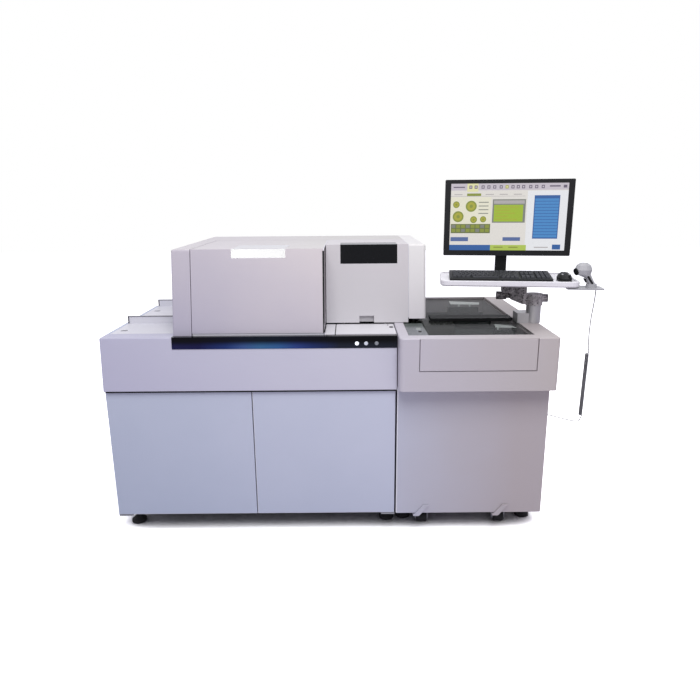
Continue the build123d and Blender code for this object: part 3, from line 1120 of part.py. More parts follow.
GRIP_TOP = (194.0, -120.0)
GRIP_TOP_Z = STAND_Z[1] + 40
with BuildPart() as scanner_body:
    # Grip from the cup up to a rounded head that looks down and to the left
    loft([console_ring(*HANDLE_FOOT, STAND_Z[1] + 2, 15, 15),
          console_ring(*HANDLE_FOOT, STAND_Z[1] + 16, 15, 15),
          console_ring(*GRIP_TOP, GRIP_TOP_Z, 16, 14),
          console_ring(*HANDLE_TOP, HEAD_Z - 14, 31, 28),
          console_ring(*HANDLE_TOP, HEAD_Z + 4, 36, 33),
          console_ring(*HANDLE_TOP, HEAD_Z + 22, 29, 26),
          console_ring(*HANDLE_TOP, HEAD_Z + 32, 15, 13)], ruled=True)
    # Pocket into which the trigger travels
    console_front(trigger_outline(-2.5, 6.5, margin=0.5), -129, -111, mode=Mode.SUBTRACT)
write(scanner_body, "scanner_body")

with BuildPart() as scanner_trigger:
    # Curved trigger in the front of the grip, under the head
    console_front(trigger_outline(-6, 1.5), -128.2, -111.8, radius=1.2)
write(scanner_trigger, "scanner_trigger")

# ---------------------------------------------------------------- scanner lead
LEAD_R = 2.0
COIL_R = 8.5
PORT = (RIGHT_X, 150.0, 493.0)             # x, depth, z of the gland on the feeder's side
LEAD_SIDES = 8
EXIT = console_plane(x=226, y=-130, z=STAND_Z[0]).origin
COIL_TOP = Vector(EXIT.X - 10.6, EXIT.Y + 2, 805)
COIL_FOOT = Vector(EXIT.X - 15.6, EXIT.Y + 2, 510)


def lead(builder_name, points):
    """A tube of straight runs and tangent arcs through a list of points."""
    corners = [Vector(*p) for p in points]
    radii = []
    for before, here, after in zip(corners, corners[1:], corners[2:]):
        turn = (here - before).get_angle(after - here)
        shorter = min((here - before).length, (after - here).length)
        radii.append(0.45 * shorter / (sin(radians(turn / 2)) / cos(radians(turn / 2))))
    with BuildPart() as tube:
        with BuildLine() as route:
            FilletPolyline(*corners, radius=radii)
        with BuildSketch(Plane(corners[0], z_dir=corners[1] - corners[0])):
            RegularPolygon(LEAD_R, LEAD_SIDES)
        sweep(path=route.wires()[0])
    section = LEAD_SIDES / 2 * LEAD_R ** 2 * sin(radians(360 / LEAD_SIDES))
    length = route.wires()[0].length
    print(builder_name, "length", round(length, 1),
          "volume ratio", round(tube.part.volume / (section * length), 4),
          "radii", [round(r, 1) for r in radii])
    write(tube, builder_name)


ex, ey, ez = EXIT.X, EXIT.Y, EXIT.Z
lead("cord_upper_lead", [(ex, ey, ez), (ex, ey, ez - 34), (ex - 4.2, ey + 0.5, ez - 79),
                         (ex - 8.8, ey + 1, ez - 124), (ex - 10, ey + 1.6, ez - 173),
                         (ex - 10.1, ey + 2.2, ez - 223),
                         (COIL_TOP.X, COIL_TOP.Y, COIL_TOP.Z)])

with BuildPart() as cord_coil:
    with BuildSketch(Plane(COIL_TOP, x_dir=(1, 0, 0), z_dir=(0, 0, 1))) as coil_top:
        RegularPolygon(COIL_R, 12)
    with BuildSketch(Plane(COIL_FOOT, x_dir=(1, 0, 0), z_dir=(0, 0, 1))) as coil_foot:
        RegularPolygon(COIL_R, 12)
    loft([coil_foot.sketch.face(), coil_top.sketch.face()], ruled=True)
write(cord_coil, "cord_coil")

fx, fy, fz = COIL_FOOT.X, COIL_FOOT.Y, COIL_FOOT.Z
px, py, pz = PORT[0], depth(PORT[1]), PORT[2]
lead("cord_lower_lead", [(fx, fy, fz), (fx, fy, fz - 13), (fx - 8, fy + 4, fz - 22),
                         (fx - 26, fy + 14, fz - 23.5), (fx - 52, fy + 31, fz - 22.5),
                         (fx - 79, fy + 50, fz - 20), (px + 62, py - 14, fz - 17.5),
                         (px + 40, py, pz), (px + 16, py, pz)])

with BuildPart() as cord_port:
    # Round gland on the feeder's side with a tapered nose that takes the lead
    gland = Plane((PORT[0], depth(PORT[1]), PORT[2]), x_dir=(0, 1, 0), z_dir=(1, 0, 0))
    with BuildSketch(gland):
        RegularPolygon(13, 6)
    extrude(amount=6)
    with BuildSketch(gland.offset(6)) as nose:
        RegularPolygon(9, 10)
    extrude(nose.sketch, amount=10, taper=20)
write(cord_port, "cord_port")
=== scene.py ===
# %% [markdown]
# # A floor-standing chemistry analyzer
# The machine stands on a laboratory floor.  A wide cabinet carries a white hood over
# turning wheels, and a narrower rack feeder with smoked glass stands beside it.  A post
# on the feeder holds a monitor, a keyboard, a mouse and a barcode scanner on a tray.
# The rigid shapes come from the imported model.  This notebook gives them their finishes
# and adds what is too fine to build there: rubber edgings, seals, keycaps, the picture
# on the screen and the curly cord of the scanner.

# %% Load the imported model
from math import atan2, cos, pi, radians, sin

import bmesh
import bpy
from mathutils import Matrix, Vector


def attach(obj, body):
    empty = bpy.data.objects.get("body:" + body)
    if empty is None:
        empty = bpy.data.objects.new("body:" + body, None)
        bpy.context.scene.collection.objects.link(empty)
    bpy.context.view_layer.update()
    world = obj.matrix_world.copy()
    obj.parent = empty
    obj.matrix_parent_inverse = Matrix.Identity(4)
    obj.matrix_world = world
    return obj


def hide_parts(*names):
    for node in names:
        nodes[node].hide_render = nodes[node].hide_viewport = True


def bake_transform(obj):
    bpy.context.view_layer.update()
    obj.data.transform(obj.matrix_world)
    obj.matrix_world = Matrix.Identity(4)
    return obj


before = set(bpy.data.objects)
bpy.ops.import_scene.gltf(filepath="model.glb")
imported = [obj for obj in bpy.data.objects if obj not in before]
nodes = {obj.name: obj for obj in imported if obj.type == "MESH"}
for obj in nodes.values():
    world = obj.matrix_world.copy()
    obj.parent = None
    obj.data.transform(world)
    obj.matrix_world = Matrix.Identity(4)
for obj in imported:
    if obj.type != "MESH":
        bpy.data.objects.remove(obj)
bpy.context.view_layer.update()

# %% [markdown]
# ## Stations
# Everything on the machine is measured from two planes: the joint between the two
# modules, and the front of the cabinet doors.  A helper turns millimetres along the
# front, behind the doors and above the floor into a point in metres.  The console turns
# on its post, so it has a helper of its own.

# %% Stations and points
SPLIT = 187.8
DOOR = -425.5
POST = (626.0, 226.0)
CONSOLE_TURN = radians(-8.0)
MM = 0.001


def at(x, depth, z):
    """A point from millimetres: right of the module joint, behind the doors, above the floor."""
    return Vector(((SPLIT + x) * MM, (DOOR + depth) * MM, z * MM))


def on_console(x, y, z):
    """A point from millimetres on the console, measured from the middle of its post."""
    turned = Matrix.Rotation(CONSOLE_TURN, 3, "Z") @ Vector((x, y, 0))
    return at(POST[0] + turned.x, POST[1] + turned.y, z)


print("post stands at", [round(c, 3) for c in at(*POST, 0)])

# %% [markdown]
# ## Camera
# The view is a little left of the joint and well above the hood, looking down by about
# fourteen degrees, with a moderately wide lens.  A camera looks along its own -Z, so it is
# first tipped up from the floor, and then rolled a touch about its own axis.

# %% Camera
camera_data = bpy.data.cameras.new("studio_camera")
camera_data.lens = 30.64
camera_data.sensor_width = 36.0
camera_data.clip_end = 60.0
camera = bpy.data.objects.new("studio_camera", camera_data)
bpy.context.scene.collection.objects.link(camera)
PITCH, YAW, ROLL = radians(14.41), radians(-0.07), radians(-0.43)
camera.matrix_world = (Matrix.Translation(at(-201, -2406, 1459))
                       @ Matrix.Rotation(YAW, 4, "Z")
                       @ Matrix.Rotation(pi / 2 - PITCH, 4, "X")
                       @ Matrix.Rotation(ROLL, 4, "Z"))
bpy.context.scene.camera = camera

# %% [markdown]
# ## Scanner cord
# A barcode scanner hangs on a curly cord: a straight lead from the stand, a long helix
# that stays springy, and a short lead into the gland on the feeder's side.  The whole
# cord is one spline.  The helix is simply more of its points, set round the line
# between the two leads.  The control points of a quadratic spline are drawn inwards, so
# the helix gets a slightly larger radius than the one it should show.

# %% Route of the cord
CORD_R = 2.0
exit_point = on_console(226, -130, 1079)
ex, ey, ez = ((exit_point / MM) - Vector((SPLIT, DOOR, 0)))
upper_route = [(ex, ey, ez), (ex, ey, ez - 34), (ex - 4.2, ey + 0.5, ez - 79),
               (ex - 8.8, ey + 1, ez - 124), (ex - 10, ey + 1.6, ez - 173),
               (ex - 10.1, ey + 2.2, ez - 223)]
coil_top, coil_foot = Vector((ex - 10.6, ey + 2, 805)), Vector((ex - 15.6, ey + 2, 510))
fx, fy, fz = coil_foot
PORT = (650.0, 150.0, 493.0)
lower_route = [(fx, fy, fz - 13), (fx - 8, fy + 4, fz - 22), (fx - 26, fy + 14, fz - 23.5),
               (fx - 52, fy + 31, fz - 22.5), (fx - 79, fy + 50, fz - 20),
               (PORT[0] + 62, PORT[1] - 14, fz - 17.5),
               (PORT[0] + 40, PORT[1], PORT[2]), (PORT[0] + 16, PORT[1], PORT[2])]
TURNS, POINTS_PER_TURN, COIL_R = 62, 12, 6.4
CONTROL_R = COIL_R / cos(pi / POINTS_PER_TURN)
helix = []
for step in range(TURNS * POINTS_PER_TURN + 1):
    share = step / (TURNS * POINTS_PER_TURN)
    turn = 2 * pi * step / POINTS_PER_TURN
    centre = coil_top.lerp(coil_foot + Vector((0, 0, 4)), 0.02 + 0.96 * share)
    helix.append(centre + Vector((CONTROL_R * cos(turn), CONTROL_R * sin(turn), 0)))
cord_points = [at(*point) for point in upper_route + helix + lower_route]


def spline_curve(name, points, radius):
    """A curve object with one smooth spline near its points, as thick as the radius says."""
    curve = bpy.data.curves.new(name, "CURVE")
    curve.dimensions = "3D"
    curve.bevel_depth = radius * MM
    curve.bevel_resolution = 2
    curve.resolution_u = 2
    curve.use_fill_caps = True
    spline = curve.splines.new("NURBS")
    spline.points.add(len(points) - 1)
    for spot, point in zip(spline.points, points):
        spot.co = (*point, 1.0)
    spline.order_u = 3
    spline.use_endpoint_u = True
    route = bpy.data.objects.new(name, curve)
    bpy.context.scene.collection.objects.link(route)
    return route


# %% Tube along the route
cord_route = spline_curve("scanner_cord_route", cord_points, CORD_R)
tube_mesh = bpy.data.meshes.new_from_object(cord_route)
cord_route.data.bevel_depth = 0.0
line_mesh = bpy.data.meshes.new_from_object(cord_route)
bpy.data.objects.remove(cord_route)
bpy.data.meshes.remove(line_mesh)
for face in tube_mesh.polygons:
    face.use_smooth = True
scanner_cord = bpy.data.objects.new("scanner_cord", tube_mesh)
bpy.context.scene.collection.objects.link(scanner_cord)
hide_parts("cord_upper_lead", "cord_coil", "cord_lower_lead")
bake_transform(scanner_cord)

# %% [markdown]
# ## Colours and nodes
# Colours are written as the eye reads them, in sRGB, while the renderer mixes light in
# linear values, so one function turns one into the other.  A second small function adds
# a node, sets it up and links it, and every finish below is built with it.

# %% Colour and node helpers
def linear(code, alpha=1.0):
    """An sRGB hex colour as linear red, green, blue and alpha."""
    parts = [int(code[i:i + 2], 16) / 255 for i in (1, 3, 5)]
    return (*[c / 12.92 if c <= 0.04045 else ((c + 0.055) / 1.055) ** 2.4 for c in parts], alpha)


def add_node(tree, kind, settings=None, **inputs):
    """One node with its settings; an input takes a value or another node's output socket."""
    node = tree.nodes.new(kind)
    for name, value in (settings or {}).items():
        setattr(node, name, value)
    for name, value in inputs.items():
        socket = node.inputs[int(name[1:])] if name[0] == "i" and name[1:].isdigit() \
            else node.inputs[name.replace("_", " ")]
        if isinstance(value, bpy.types.NodeSocket):
            tree.links.new(value, socket)
        else:
            socket.default_value = value
    return node


def new_finish(name, base, roughness, metallic=0.0, ior=1.5, alpha=1.0):
    """An empty finish: its material, node tree and the one shader that everything feeds."""
    material = bpy.data.materials.new(name)
    material.use_nodes = True
    tree = material.node_tree
    tree.nodes.clear()
    shader = add_node(tree, "ShaderNodeBsdfPrincipled", Base_Color=linear(base),
                      Roughness=roughness, Metallic=metallic, IOR=ior, Alpha=alpha)
    add_node(tree, "ShaderNodeOutputMaterial", Surface=shader.outputs["BSDF"])
    place = add_node(tree, "ShaderNodeTexCoord")
    return material, tree, shader, place.outputs["Object"]


def grain(tree, place, size_mm, detail=3.0):
    """Noise whose features are about this many millimetres across."""
    return add_node(tree, "ShaderNodeTexNoise", Vector=place, Scale=1000 / size_mm,
                    Detail=detail, Roughness=0.55).outputs["Fac"]


def spread(tree, value, low, high):
    """Map the middle of a noise's range onto low to high."""
    return add_node(tree, "ShaderNodeMapRange", Value=value, From_Min=0.3, From_Max=0.7,
                    To_Min=low, To_Max=high).outputs["Result"]


def two_tones(tree, value, dark, light):
    """A colour between two hex tones."""
    return add_node(tree, "ShaderNodeMix", {"data_type": "RGBA"}, Factor=value,
                    i6=linear(dark), i7=linear(light)).outputs[2]


def roughen(tree, shader, height, depth_mm):
    """Feed a height into the shader as bump of this depth."""
    bump = add_node(tree, "ShaderNodeBump", Height=height, Distance=depth_mm * MM, Strength=1.0)
    tree.links.new(bump.outputs["Normal"], shader.inputs["Normal"])


print("helpers ready")

# %% [markdown]
# ## Moulded covers
# The hood, lids and side covers are thick ABS mouldings, painted off-white.  The tool is
# spark-eroded, which leaves an even grain that breaks up reflections.  The real grain is
# about 0.3 mm; it is drawn at 1.6 mm, because finer would vanish at this distance.  A
# much larger and fainter mottling keeps the big faces from looking computed.

# %% Painted light and shade ramp
MOTTLE = 260


def painted_light_ramp(tree, place, light_ramp_span, light_ramp_upward=0.45):
    """Painted light and shade: a value from 0 to 1 between two (x, z) stations, part of it along
    and part of it upwards.
    """
    near, far = at(light_ramp_span[0], 0, light_ramp_span[1]), at(light_ramp_span[2], 0, light_ramp_span[3])
    pull = ((1 - light_ramp_upward) / (far.x - near.x), 0, light_ramp_upward / (far.z - near.z))
    way = add_node(tree, "ShaderNodeVectorMath", {"operation": "DOT_PRODUCT"}, i0=place, i1=pull)
    start, end = near.dot(Vector(pull)), far.dot(Vector(pull))
    share = add_node(tree, "ShaderNodeMapRange", Value=way.outputs["Value"], From_Min=start,
                     From_Max=end).outputs["Result"]
    mottle = spread(tree, grain(tree, place, MOTTLE, 2.0), -0.06, 0.06)
    return add_node(tree, "ShaderNodeMath", {"operation": "ADD"}, i0=share, i1=mottle).outputs[0]


def coated(name, dark, light, roughness, ior, light_ramp_span, light_ramp_upward, mottle, gloss_patch):
    """A painted or moulded surface: a painted ramp of light and shade when given a span, else a
    random mottle; its gloss varies a little.
    """
    material, tree, shader, place = new_finish(name, light, roughness, ior=ior)
    # Painted light and shade: with a span, the colour ramps from the dark tone to the light one
    # across it.
    if light_ramp_span:
        value = painted_light_ramp(tree, place, light_ramp_span, light_ramp_upward)
    else:
        value = spread(tree, grain(tree, place, mottle, 2.0), 0, 1)
    tree.links.new(two_tones(tree, value, dark, light), shader.inputs["Base Color"])
    patch_mm, swing = gloss_patch
    tree.links.new(spread(tree, grain(tree, place, patch_mm), roughness - swing, roughness + swing),
                   shader.inputs["Roughness"])
    return material, tree, shader, place


# %% Moulded cover finishes
def moulded_cover(name, dark, light, roughness, light_ramp_span=None, light_ramp_upward=0.45):
    """Spark-eroded ABS: fine even grain under a faint mottling, or under a painted ramp of light
    and shade when given a span.
    """
    material, tree, shader, place = coated(name, dark, light, roughness, 1.46, light_ramp_span, light_ramp_upward,
                                           MOTTLE, (45, 0.05))
    roughen(tree, shader, grain(tree, place, 1.6, 1.0), 0.03)
    return material


# Painted light and shade: the main covers, the end cap and the smaller lid ramp from dark to light
# across their spans, for how the lamps fall on them.
cover_abs = moulded_cover("abs_cover_off_white", "#A9A5B6", "#CBC3C5", 0.42,
                          (-900, 905, -290, 1252))
ledge_abs = moulded_cover("abs_ledge_off_white", "#CFCDD3", "#D5D3D8", 0.42)
side_abs = moulded_cover("abs_side_cover_white", "#CFCFD8", "#D6D5DC", 0.40)
bright_abs = moulded_cover("abs_cap_white", "#CFCBD0", "#DCDAD9", 0.38, (60, 900, 146, 1240), 0.9)
lid_abs = moulded_cover("abs_lid_off_white", "#C5C3C8", "#C4BFC2", 0.40, (-300, 905, 66, 1252), 0.6)
# Painted shade: the flat tops get their own paint, darker than the covers' light tone, where the
# lamps light them most.
roof_shade_abs = moulded_cover("abs_roof_painted_shade", "#C2BDC1", "#C0BDBB", 0.42,
                         (-750, 1200, -250, 1260), 0.0)
tray_abs = moulded_cover("abs_tray_white", "#DEDCE2", "#E6E4E9", 0.35)
scanner_abs = moulded_cover("abs_scanner_grey", "#A2A2A6", "#B0B0B3", 0.45)

# %% [markdown]
# ## Powder-coated steel
# Doors, panels and the feeder are folded sheet steel with a baked powder coat.  Powder
# flows into a low orange peel with waves a few millimetres long, which shows as soft
# unevenness in the highlights.

# %% Powder coats
def powder_coat(name, dark, light, roughness=0.5, light_ramp_span=None, light_ramp_upward=0.0):
    """Baked powder: orange peel in the surface and the gloss; in the colour a painted ramp of light
    and shade when given a span, else a mottle.
    """
    material, tree, shader, place = coated(name, dark, light, roughness, 1.5, light_ramp_span, light_ramp_upward,
                                           320, (30, 0.06))
    roughen(tree, shader, grain(tree, place, 3.0, 2.0), 0.04)
    return material


# Painted light and shade: the doors, side panel, band, feeder box and feeder cabinet ramp from the
# first tone to the second across their spans, for how the light falls on them.
blue_coat = powder_coat("powder_coat_blue_grey", "#ACB5C9", "#C3C7D8", 0.5,
                        (-1257, 125, -4, 663), 0.4)
lilac_coat = powder_coat("powder_coat_lilac_grey", "#B5B4C9", "#C3C2D0", 0.5,
                         (-1200, 667, -250, 897), 0.15)
warm_coat = powder_coat("powder_coat_warm_grey", "#BEBAC4", "#B8B0AF", 0.5,
                        (0, 683, 640, 906), 0.05)
low_coat = powder_coat("powder_coat_cabinet_grey", "#B8BAC9", "#B0A8AB", 0.5,
                       (0, 125, 520, 683), 0.05)
# Painted highlight: a near-white coat for edges that catch the light.
edge_highlight = powder_coat("powder_coat_painted_edge_highlight", "#F2F2F8", "#FAFAFD", 0.4)
frame_coat = powder_coat("powder_coat_frame_grey", "#8E9096", "#9A9CA2", 0.6)

# %% [markdown]
# ## Glossy strip and its lamps
# Above the doors runs a strip of black acrylic, back-printed and lit from behind at its
# left half: navy, then a cyan glow low in the strip, then royal blue.  A ramp along the
# machine gives the print its colours, and a second one fades the glow upwards.

# %% Strip finish
strip_acrylic, tree, shader, place = new_finish("acrylic_strip_black", "#0C0D12", 0.08)
axes = add_node(tree, "ShaderNodeSeparateXYZ", Vector=place)
along = add_node(tree, "ShaderNodeMapRange", Value=axes.outputs["X"], From_Min=at(-940, 0, 0).x,
                 From_Max=at(0, 0, 0).x).outputs["Result"]
print_ramp = add_node(tree, "ShaderNodeValToRGB", Fac=along)
bands = [(0.0, "#16163A"), (0.12, "#10123A"), (0.24, "#182A5C"), (0.316, "#2F4676"),
         (0.394, "#2D557B"), (0.472, "#284D7B"), (0.55, "#23356C"), (0.627, "#182652"),
         (0.745, "#181C26"), (1.0, "#171A22")]
while len(print_ramp.color_ramp.elements) < len(bands):
    print_ramp.color_ramp.elements.new(0.5)
for element, (position, code) in zip(print_ramp.color_ramp.elements, bands):
    element.position = position
    element.color = linear(code)
GLOW_ENDS, GLOW_FULL = 0.884, 0.856
low_in_strip = add_node(tree, "ShaderNodeMapRange", {"interpolation_type": "SMOOTHSTEP"},
                        Value=axes.outputs["Z"], From_Min=GLOW_ENDS, From_Max=GLOW_FULL,
                        To_Min=0.05, To_Max=1.0).outputs["Result"]
glow = add_node(tree, "ShaderNodeMix", {"data_type": "RGBA", "blend_type": "MULTIPLY"},
                Factor=1.0, i6=print_ramp.outputs["Color"], i7=low_in_strip).outputs[2]
tree.links.new(glow, shader.inputs["Base Color"])
tree.links.new(glow, shader.inputs["Emission Color"])
shader.inputs["Emission Strength"].default_value = 0.25
shader.inputs["Specular IOR Level"].default_value = 0.25
roughen(tree, shader, grain(tree, place, 60), 0.02)


def lit_button(name, code, strength):
    """Translucent button cap with a lamp behind it."""
    material, tree, shader, place = new_finish(name, code, 0.25)
    shader.inputs["Emission Color"].default_value = linear(code)
    shader.inputs["Emission Strength"].default_value = strength
    roughen(tree, shader, grain(tree, place, 4.0), 0.05)
    return material


start_lamp = lit_button("acrylic_button_lit", "#F6F8FF", 0.55)
pause_lamp = lit_button("acrylic_button_half_lit", "#C6CAD6", 0.10)
stop_lamp = lit_button("acrylic_button_unlit", "#84878F", 0.0)

# %% [markdown]
# ## Smoked glass
# The panes are tinted acrylic, so they are dark, a little see-through and very smooth.
# A low alpha lets the racks and wheels under them show, and the gloss comes from the
# surface alone.

# %% Smoked panes
def smoked(name, code, alpha, roughness, gloss=0.5):
    """Tinted acrylic pane with faint wipe marks in its gloss."""
    material, tree, shader, place = new_finish(name, code, roughness, ior=1.49, alpha=alpha)
    shader.inputs["Specular IOR Level"].default_value = gloss
    stretched = add_node(tree, "ShaderNodeMapping", Vector=place, Scale=(1.0, 7.0, 1.0))
    tree.links.new(spread(tree, grain(tree, stretched.outputs["Vector"], 160), roughness,
                          roughness + 0.06), shader.inputs["Roughness"])
    return material


feeder_glass = smoked("smoked_acrylic_green_black", "#0E1412", 0.30, 0.05, 0.05)
window_glass = smoked("smoked_acrylic_black", "#101114", 0.94, 0.05)
coat = window_glass.node_tree.nodes["Principled BSDF"].inputs
coat["Coat Weight"].default_value = 1.0
coat["Coat Roughness"].default_value = 0.04
small_window_glass = smoked("smoked_acrylic_matt_black", "#101114", 0.94, 0.12, 0.12)

# %% [markdown]
# ## Metals, rubber and black plastic
# The deck is brushed stainless steel, the post is brushed aluminium, and the feet and
# wheels are moulded rubber.  A brush leaves fine lines in one direction, so its noise is
# squeezed along one axis.  The monitor, keyboard and mouse are black ABS with a fine
# texture, a little more glossy where hands have polished it.

# %% Metals
def brushed(name, code, roughness, squeeze):
    """Brushed metal: long fine scratches in the gloss and in the surface."""
    material, tree, shader, place = new_finish(name, code, roughness, metallic=1.0)
    lines = add_node(tree, "ShaderNodeMapping", Vector=place, Scale=squeeze)
    scratch = grain(tree, lines.outputs["Vector"], 2.0)
    tree.links.new(spread(tree, scratch, roughness - 0.08, roughness + 0.12),
                   shader.inputs["Roughness"])
    roughen(tree, shader, scratch, 0.02)
    return material


lane_plate = brushed("anodised_lane_plate", "#3F4A45", 0.55, (0.03, 1.0, 1.0))
deck_steel = brushed("stainless_deck_brushed", "#B9BBC0", 0.34, (0.03, 1.0, 1.0))
post_aluminium = brushed("aluminium_post_brushed", "#B4B3B4", 0.42, (1.0, 1.0, 0.04))
unit_aluminium = brushed("aluminium_housing", "#9FA1A6", 0.45, (0.05, 1.0, 1.0))


# %% Rubber and dark plastics
def soft_black(name, dark, light, roughness, grain_mm):
    """Moulded rubber or dark plastic with a dusty large-scale variation."""
    material, tree, shader, place = new_finish(name, dark, roughness, ior=1.5)
    tone = two_tones(tree, spread(tree, grain(tree, place, 70), 0, 1), dark, light)
    tree.links.new(tone, shader.inputs["Base Color"])
    roughen(tree, shader, grain(tree, place, grain_mm, 1.0), 0.05)
    shader.inputs["Specular IOR Level"].default_value = 0.25
    return material


foot_rubber = soft_black("rubber_foot_black", "#1B1B1D", "#2A2A2C", 0.75, 2.0)
edge_rubber = soft_black("rubber_edging_dark", "#3A3A42", "#4A4A52", 0.6, 2.0)
# Painted highlight: the top run of the cover edging is painted lighter than the dark rubber at its
# ends.
edging_lit_top = soft_black("edging_painted_highlight_top", "#77777E", "#8B8B92", 0.5, 2.0)
gasket_black = soft_black("rubber_gasket_black", "#08080A", "#0E0E10", 0.8, 2.0)
marker_white = soft_black("lane_marker_white", "#F0F4F2", "#FFFFFF", 0.5, 2.0)
# The station and the guide plates glow a little, so they read through the smoked glass.
station_white = soft_black("station_plate_lit", "#B4B2C0", "#C2C0CC", 0.5, 2.0)
for lit_finish, strength in ((marker_white, 0.26), (station_white, 0.22)):
    lit_inputs = lit_finish.node_tree.nodes["Principled BSDF"].inputs
    lit_inputs["Emission Color"].default_value = linear("#E4F2EE")
    lit_inputs["Emission Strength"].default_value = strength
cord_pvc = soft_black("pvc_cord_grey", "#5E5E62", "#6E6E72", 0.45, 1.5)
black_abs = soft_black("abs_black_textured", "#0F1011", "#17181A", 0.45, 1.2)
key_abs = soft_black("abs_keycap_black", "#2C2D31", "#3A3B40", 0.5, 1.0)
wheel_plastic = soft_black("polypropylene_dark_grey", "#2F3137", "#3B3E45", 0.5, 1.5)
tank_plastic = moulded_cover("polyethylene_natural", "#D7D9D4", "#E4E6E0", 0.55)
rack_plastic = moulded_cover("polypropylene_rack_grey", "#6C7068", "#7C8078", 0.5)

# %% Cast arm
def cast_metal(name, dark, light, speck):
    """Sand-cast alloy under thin hammer paint: mottled grey with dark specks."""
    material, tree, shader, place = new_finish(name, light, 0.5, metallic=0.2)
    blotch = two_tones(tree, spread(tree, grain(tree, place, 16), 0, 1), dark, light)
    specks = add_node(tree, "ShaderNodeMapRange", Value=grain(tree, place, 7, 1.0), From_Min=0.56,
                      From_Max=0.64).outputs["Result"]
    tone = add_node(tree, "ShaderNodeMix", {"data_type": "RGBA"}, Factor=specks, i6=blotch,
                    i7=linear(speck)).outputs[2]
    tree.links.new(tone, shader.inputs["Base Color"])
    roughen(tree, shader, grain(tree, place, 5, 2.0), 0.3)
    return material


arm_casting = cast_metal("cast_alloy_hammer_dark", "#4E4A4C", "#A09C9C", "#222224")
sleeve_casting = cast_metal("cast_alloy_hammer_grey", "#8E8A8B", "#C4C0C0", "#4A484A")

# %% [markdown]
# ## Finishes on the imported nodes
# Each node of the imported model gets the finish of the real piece.  The list below reads
# like a parts list of the machine.

# %% Dress the nodes
FINISHES = {
    cover_abs: ["hood_shell", "main_lid"],
    ledge_abs: ["front_ledge", "sample_arm", "reagent_arm", "mixer_head", "wash_head"],
    side_abs: ["side_covers"],
    lid_abs: ["stat_lid"],
    bright_abs: ["hood_end_cap"],
    tray_abs: ["console_tray"],
    scanner_abs: ["scanner_body", "scanner_stand"],
    blue_coat: ["left_door", "right_door", "left_side_panel"],
    lilac_coat: ["front_band", "rear_panel"],
    warm_coat: ["feeder_box", "feeder_flap"],
    low_coat: ["feeder_cabinet", "feeder_front_panel"],
    frame_coat: ["chassis", "caster_fork_left", "caster_fork_right"],
    arm_casting: ["console_arm"],
    strip_acrylic: ["display_strip"],
    start_lamp: ["start_button"],
    pause_lamp: ["pause_button"],
    stop_lamp: ["stop_button"],
    feeder_glass: ["rear_glass", "sliding_cover"],
    window_glass: ["main_lid_window"],
    small_window_glass: ["stat_lid_window"],
    deck_steel: ["deck_plate", "sample_arm_column", "reagent_arm_column"],
    lane_plate: ["rack_lanes"],
    post_aluminium: ["arm_post"],
    unit_aluminium: ["power_unit"],
    foot_rubber: ["levelling_feet", "caster_wheel_left", "caster_wheel_right", "mouse_wheel"],
    cord_pvc: ["cord_port", "cord_upper_lead", "cord_coil", "cord_lower_lead"],
    black_abs: ["monitor_stand", "monitor_shell", "monitor_screen", "mouse_body",
                "scanner_trigger"],
    key_abs: ["keyboard", "space_bar"],
    wheel_plastic: ["reagent_wheel", "reaction_wheel", "stat_table"],
    rack_plastic: ["sample_racks"],
    tank_plastic: ["fluid_tanks"],
}
for finish, names in FINISHES.items():
    for name in names:
        nodes[name].data.materials.clear()
        nodes[name].data.materials.append(finish)
dressed = {name for names in FINISHES.values() for name in names}
assert dressed == set(nodes), dressed ^ set(nodes)
ROOF_SHADE_ABOVE, COVER_SKIN_ABOVE, SLEEVE_REACH = 1.2, 0.9055, 0.05
# Painted shade: faces looking up above the roof line take the darker roof paint.
for name in ("hood_shell", "main_lid"):
    nodes[name].data.materials.append(roof_shade_abs)
    for face in nodes[name].data.polygons:
        face.material_index = int(face.normal.z > 0.9 and face.center.z > ROOF_SHADE_ABOVE)
for face in nodes["console_arm"].data.polygons:
    off_post = face.center - at(*POST, face.center.z / MM)
    face.material_index = int(off_post.length < SLEEVE_REACH)
nodes["console_arm"].data.materials.append(sleeve_casting)
for face in nodes["sliding_cover"].data.polygons:
    face.material_index = int(face.center.z > COVER_SKIN_ABOVE and face.normal.z < 0.5)
nodes["sliding_cover"].data.materials.append(gasket_black)
# Painted highlight: the chamfers along the lower and left edges of the doors and the feeder's front
# panel take the near-white coat.
for name in ("left_door", "right_door", "feeder_front_panel"):
    nodes[name].data.materials.append(edge_highlight)
    for face in nodes[name].data.polygons:
        chamfered = -0.9 < face.normal.y < -0.3
        face.material_index = int(chamfered and (face.normal.z < -0.3 or face.normal.x < -0.3))
scanner_cord.data.materials.append(cord_pvc)
print("dressed", len(dressed), "nodes")

# %% [markdown]
# ## Helpers for added pieces
# Most added pieces are made of softly bevelled blocks: a unit cube is scaled into place
# and its edges are rounded.  Blocks of one finish are gathered in one mesh, which then
# rides on the body that carries it.

# %% Blocks and pieces
CONSOLE = Matrix.Translation(at(*POST, 0)) @ Matrix.Rotation(CONSOLE_TURN, 4, "Z")


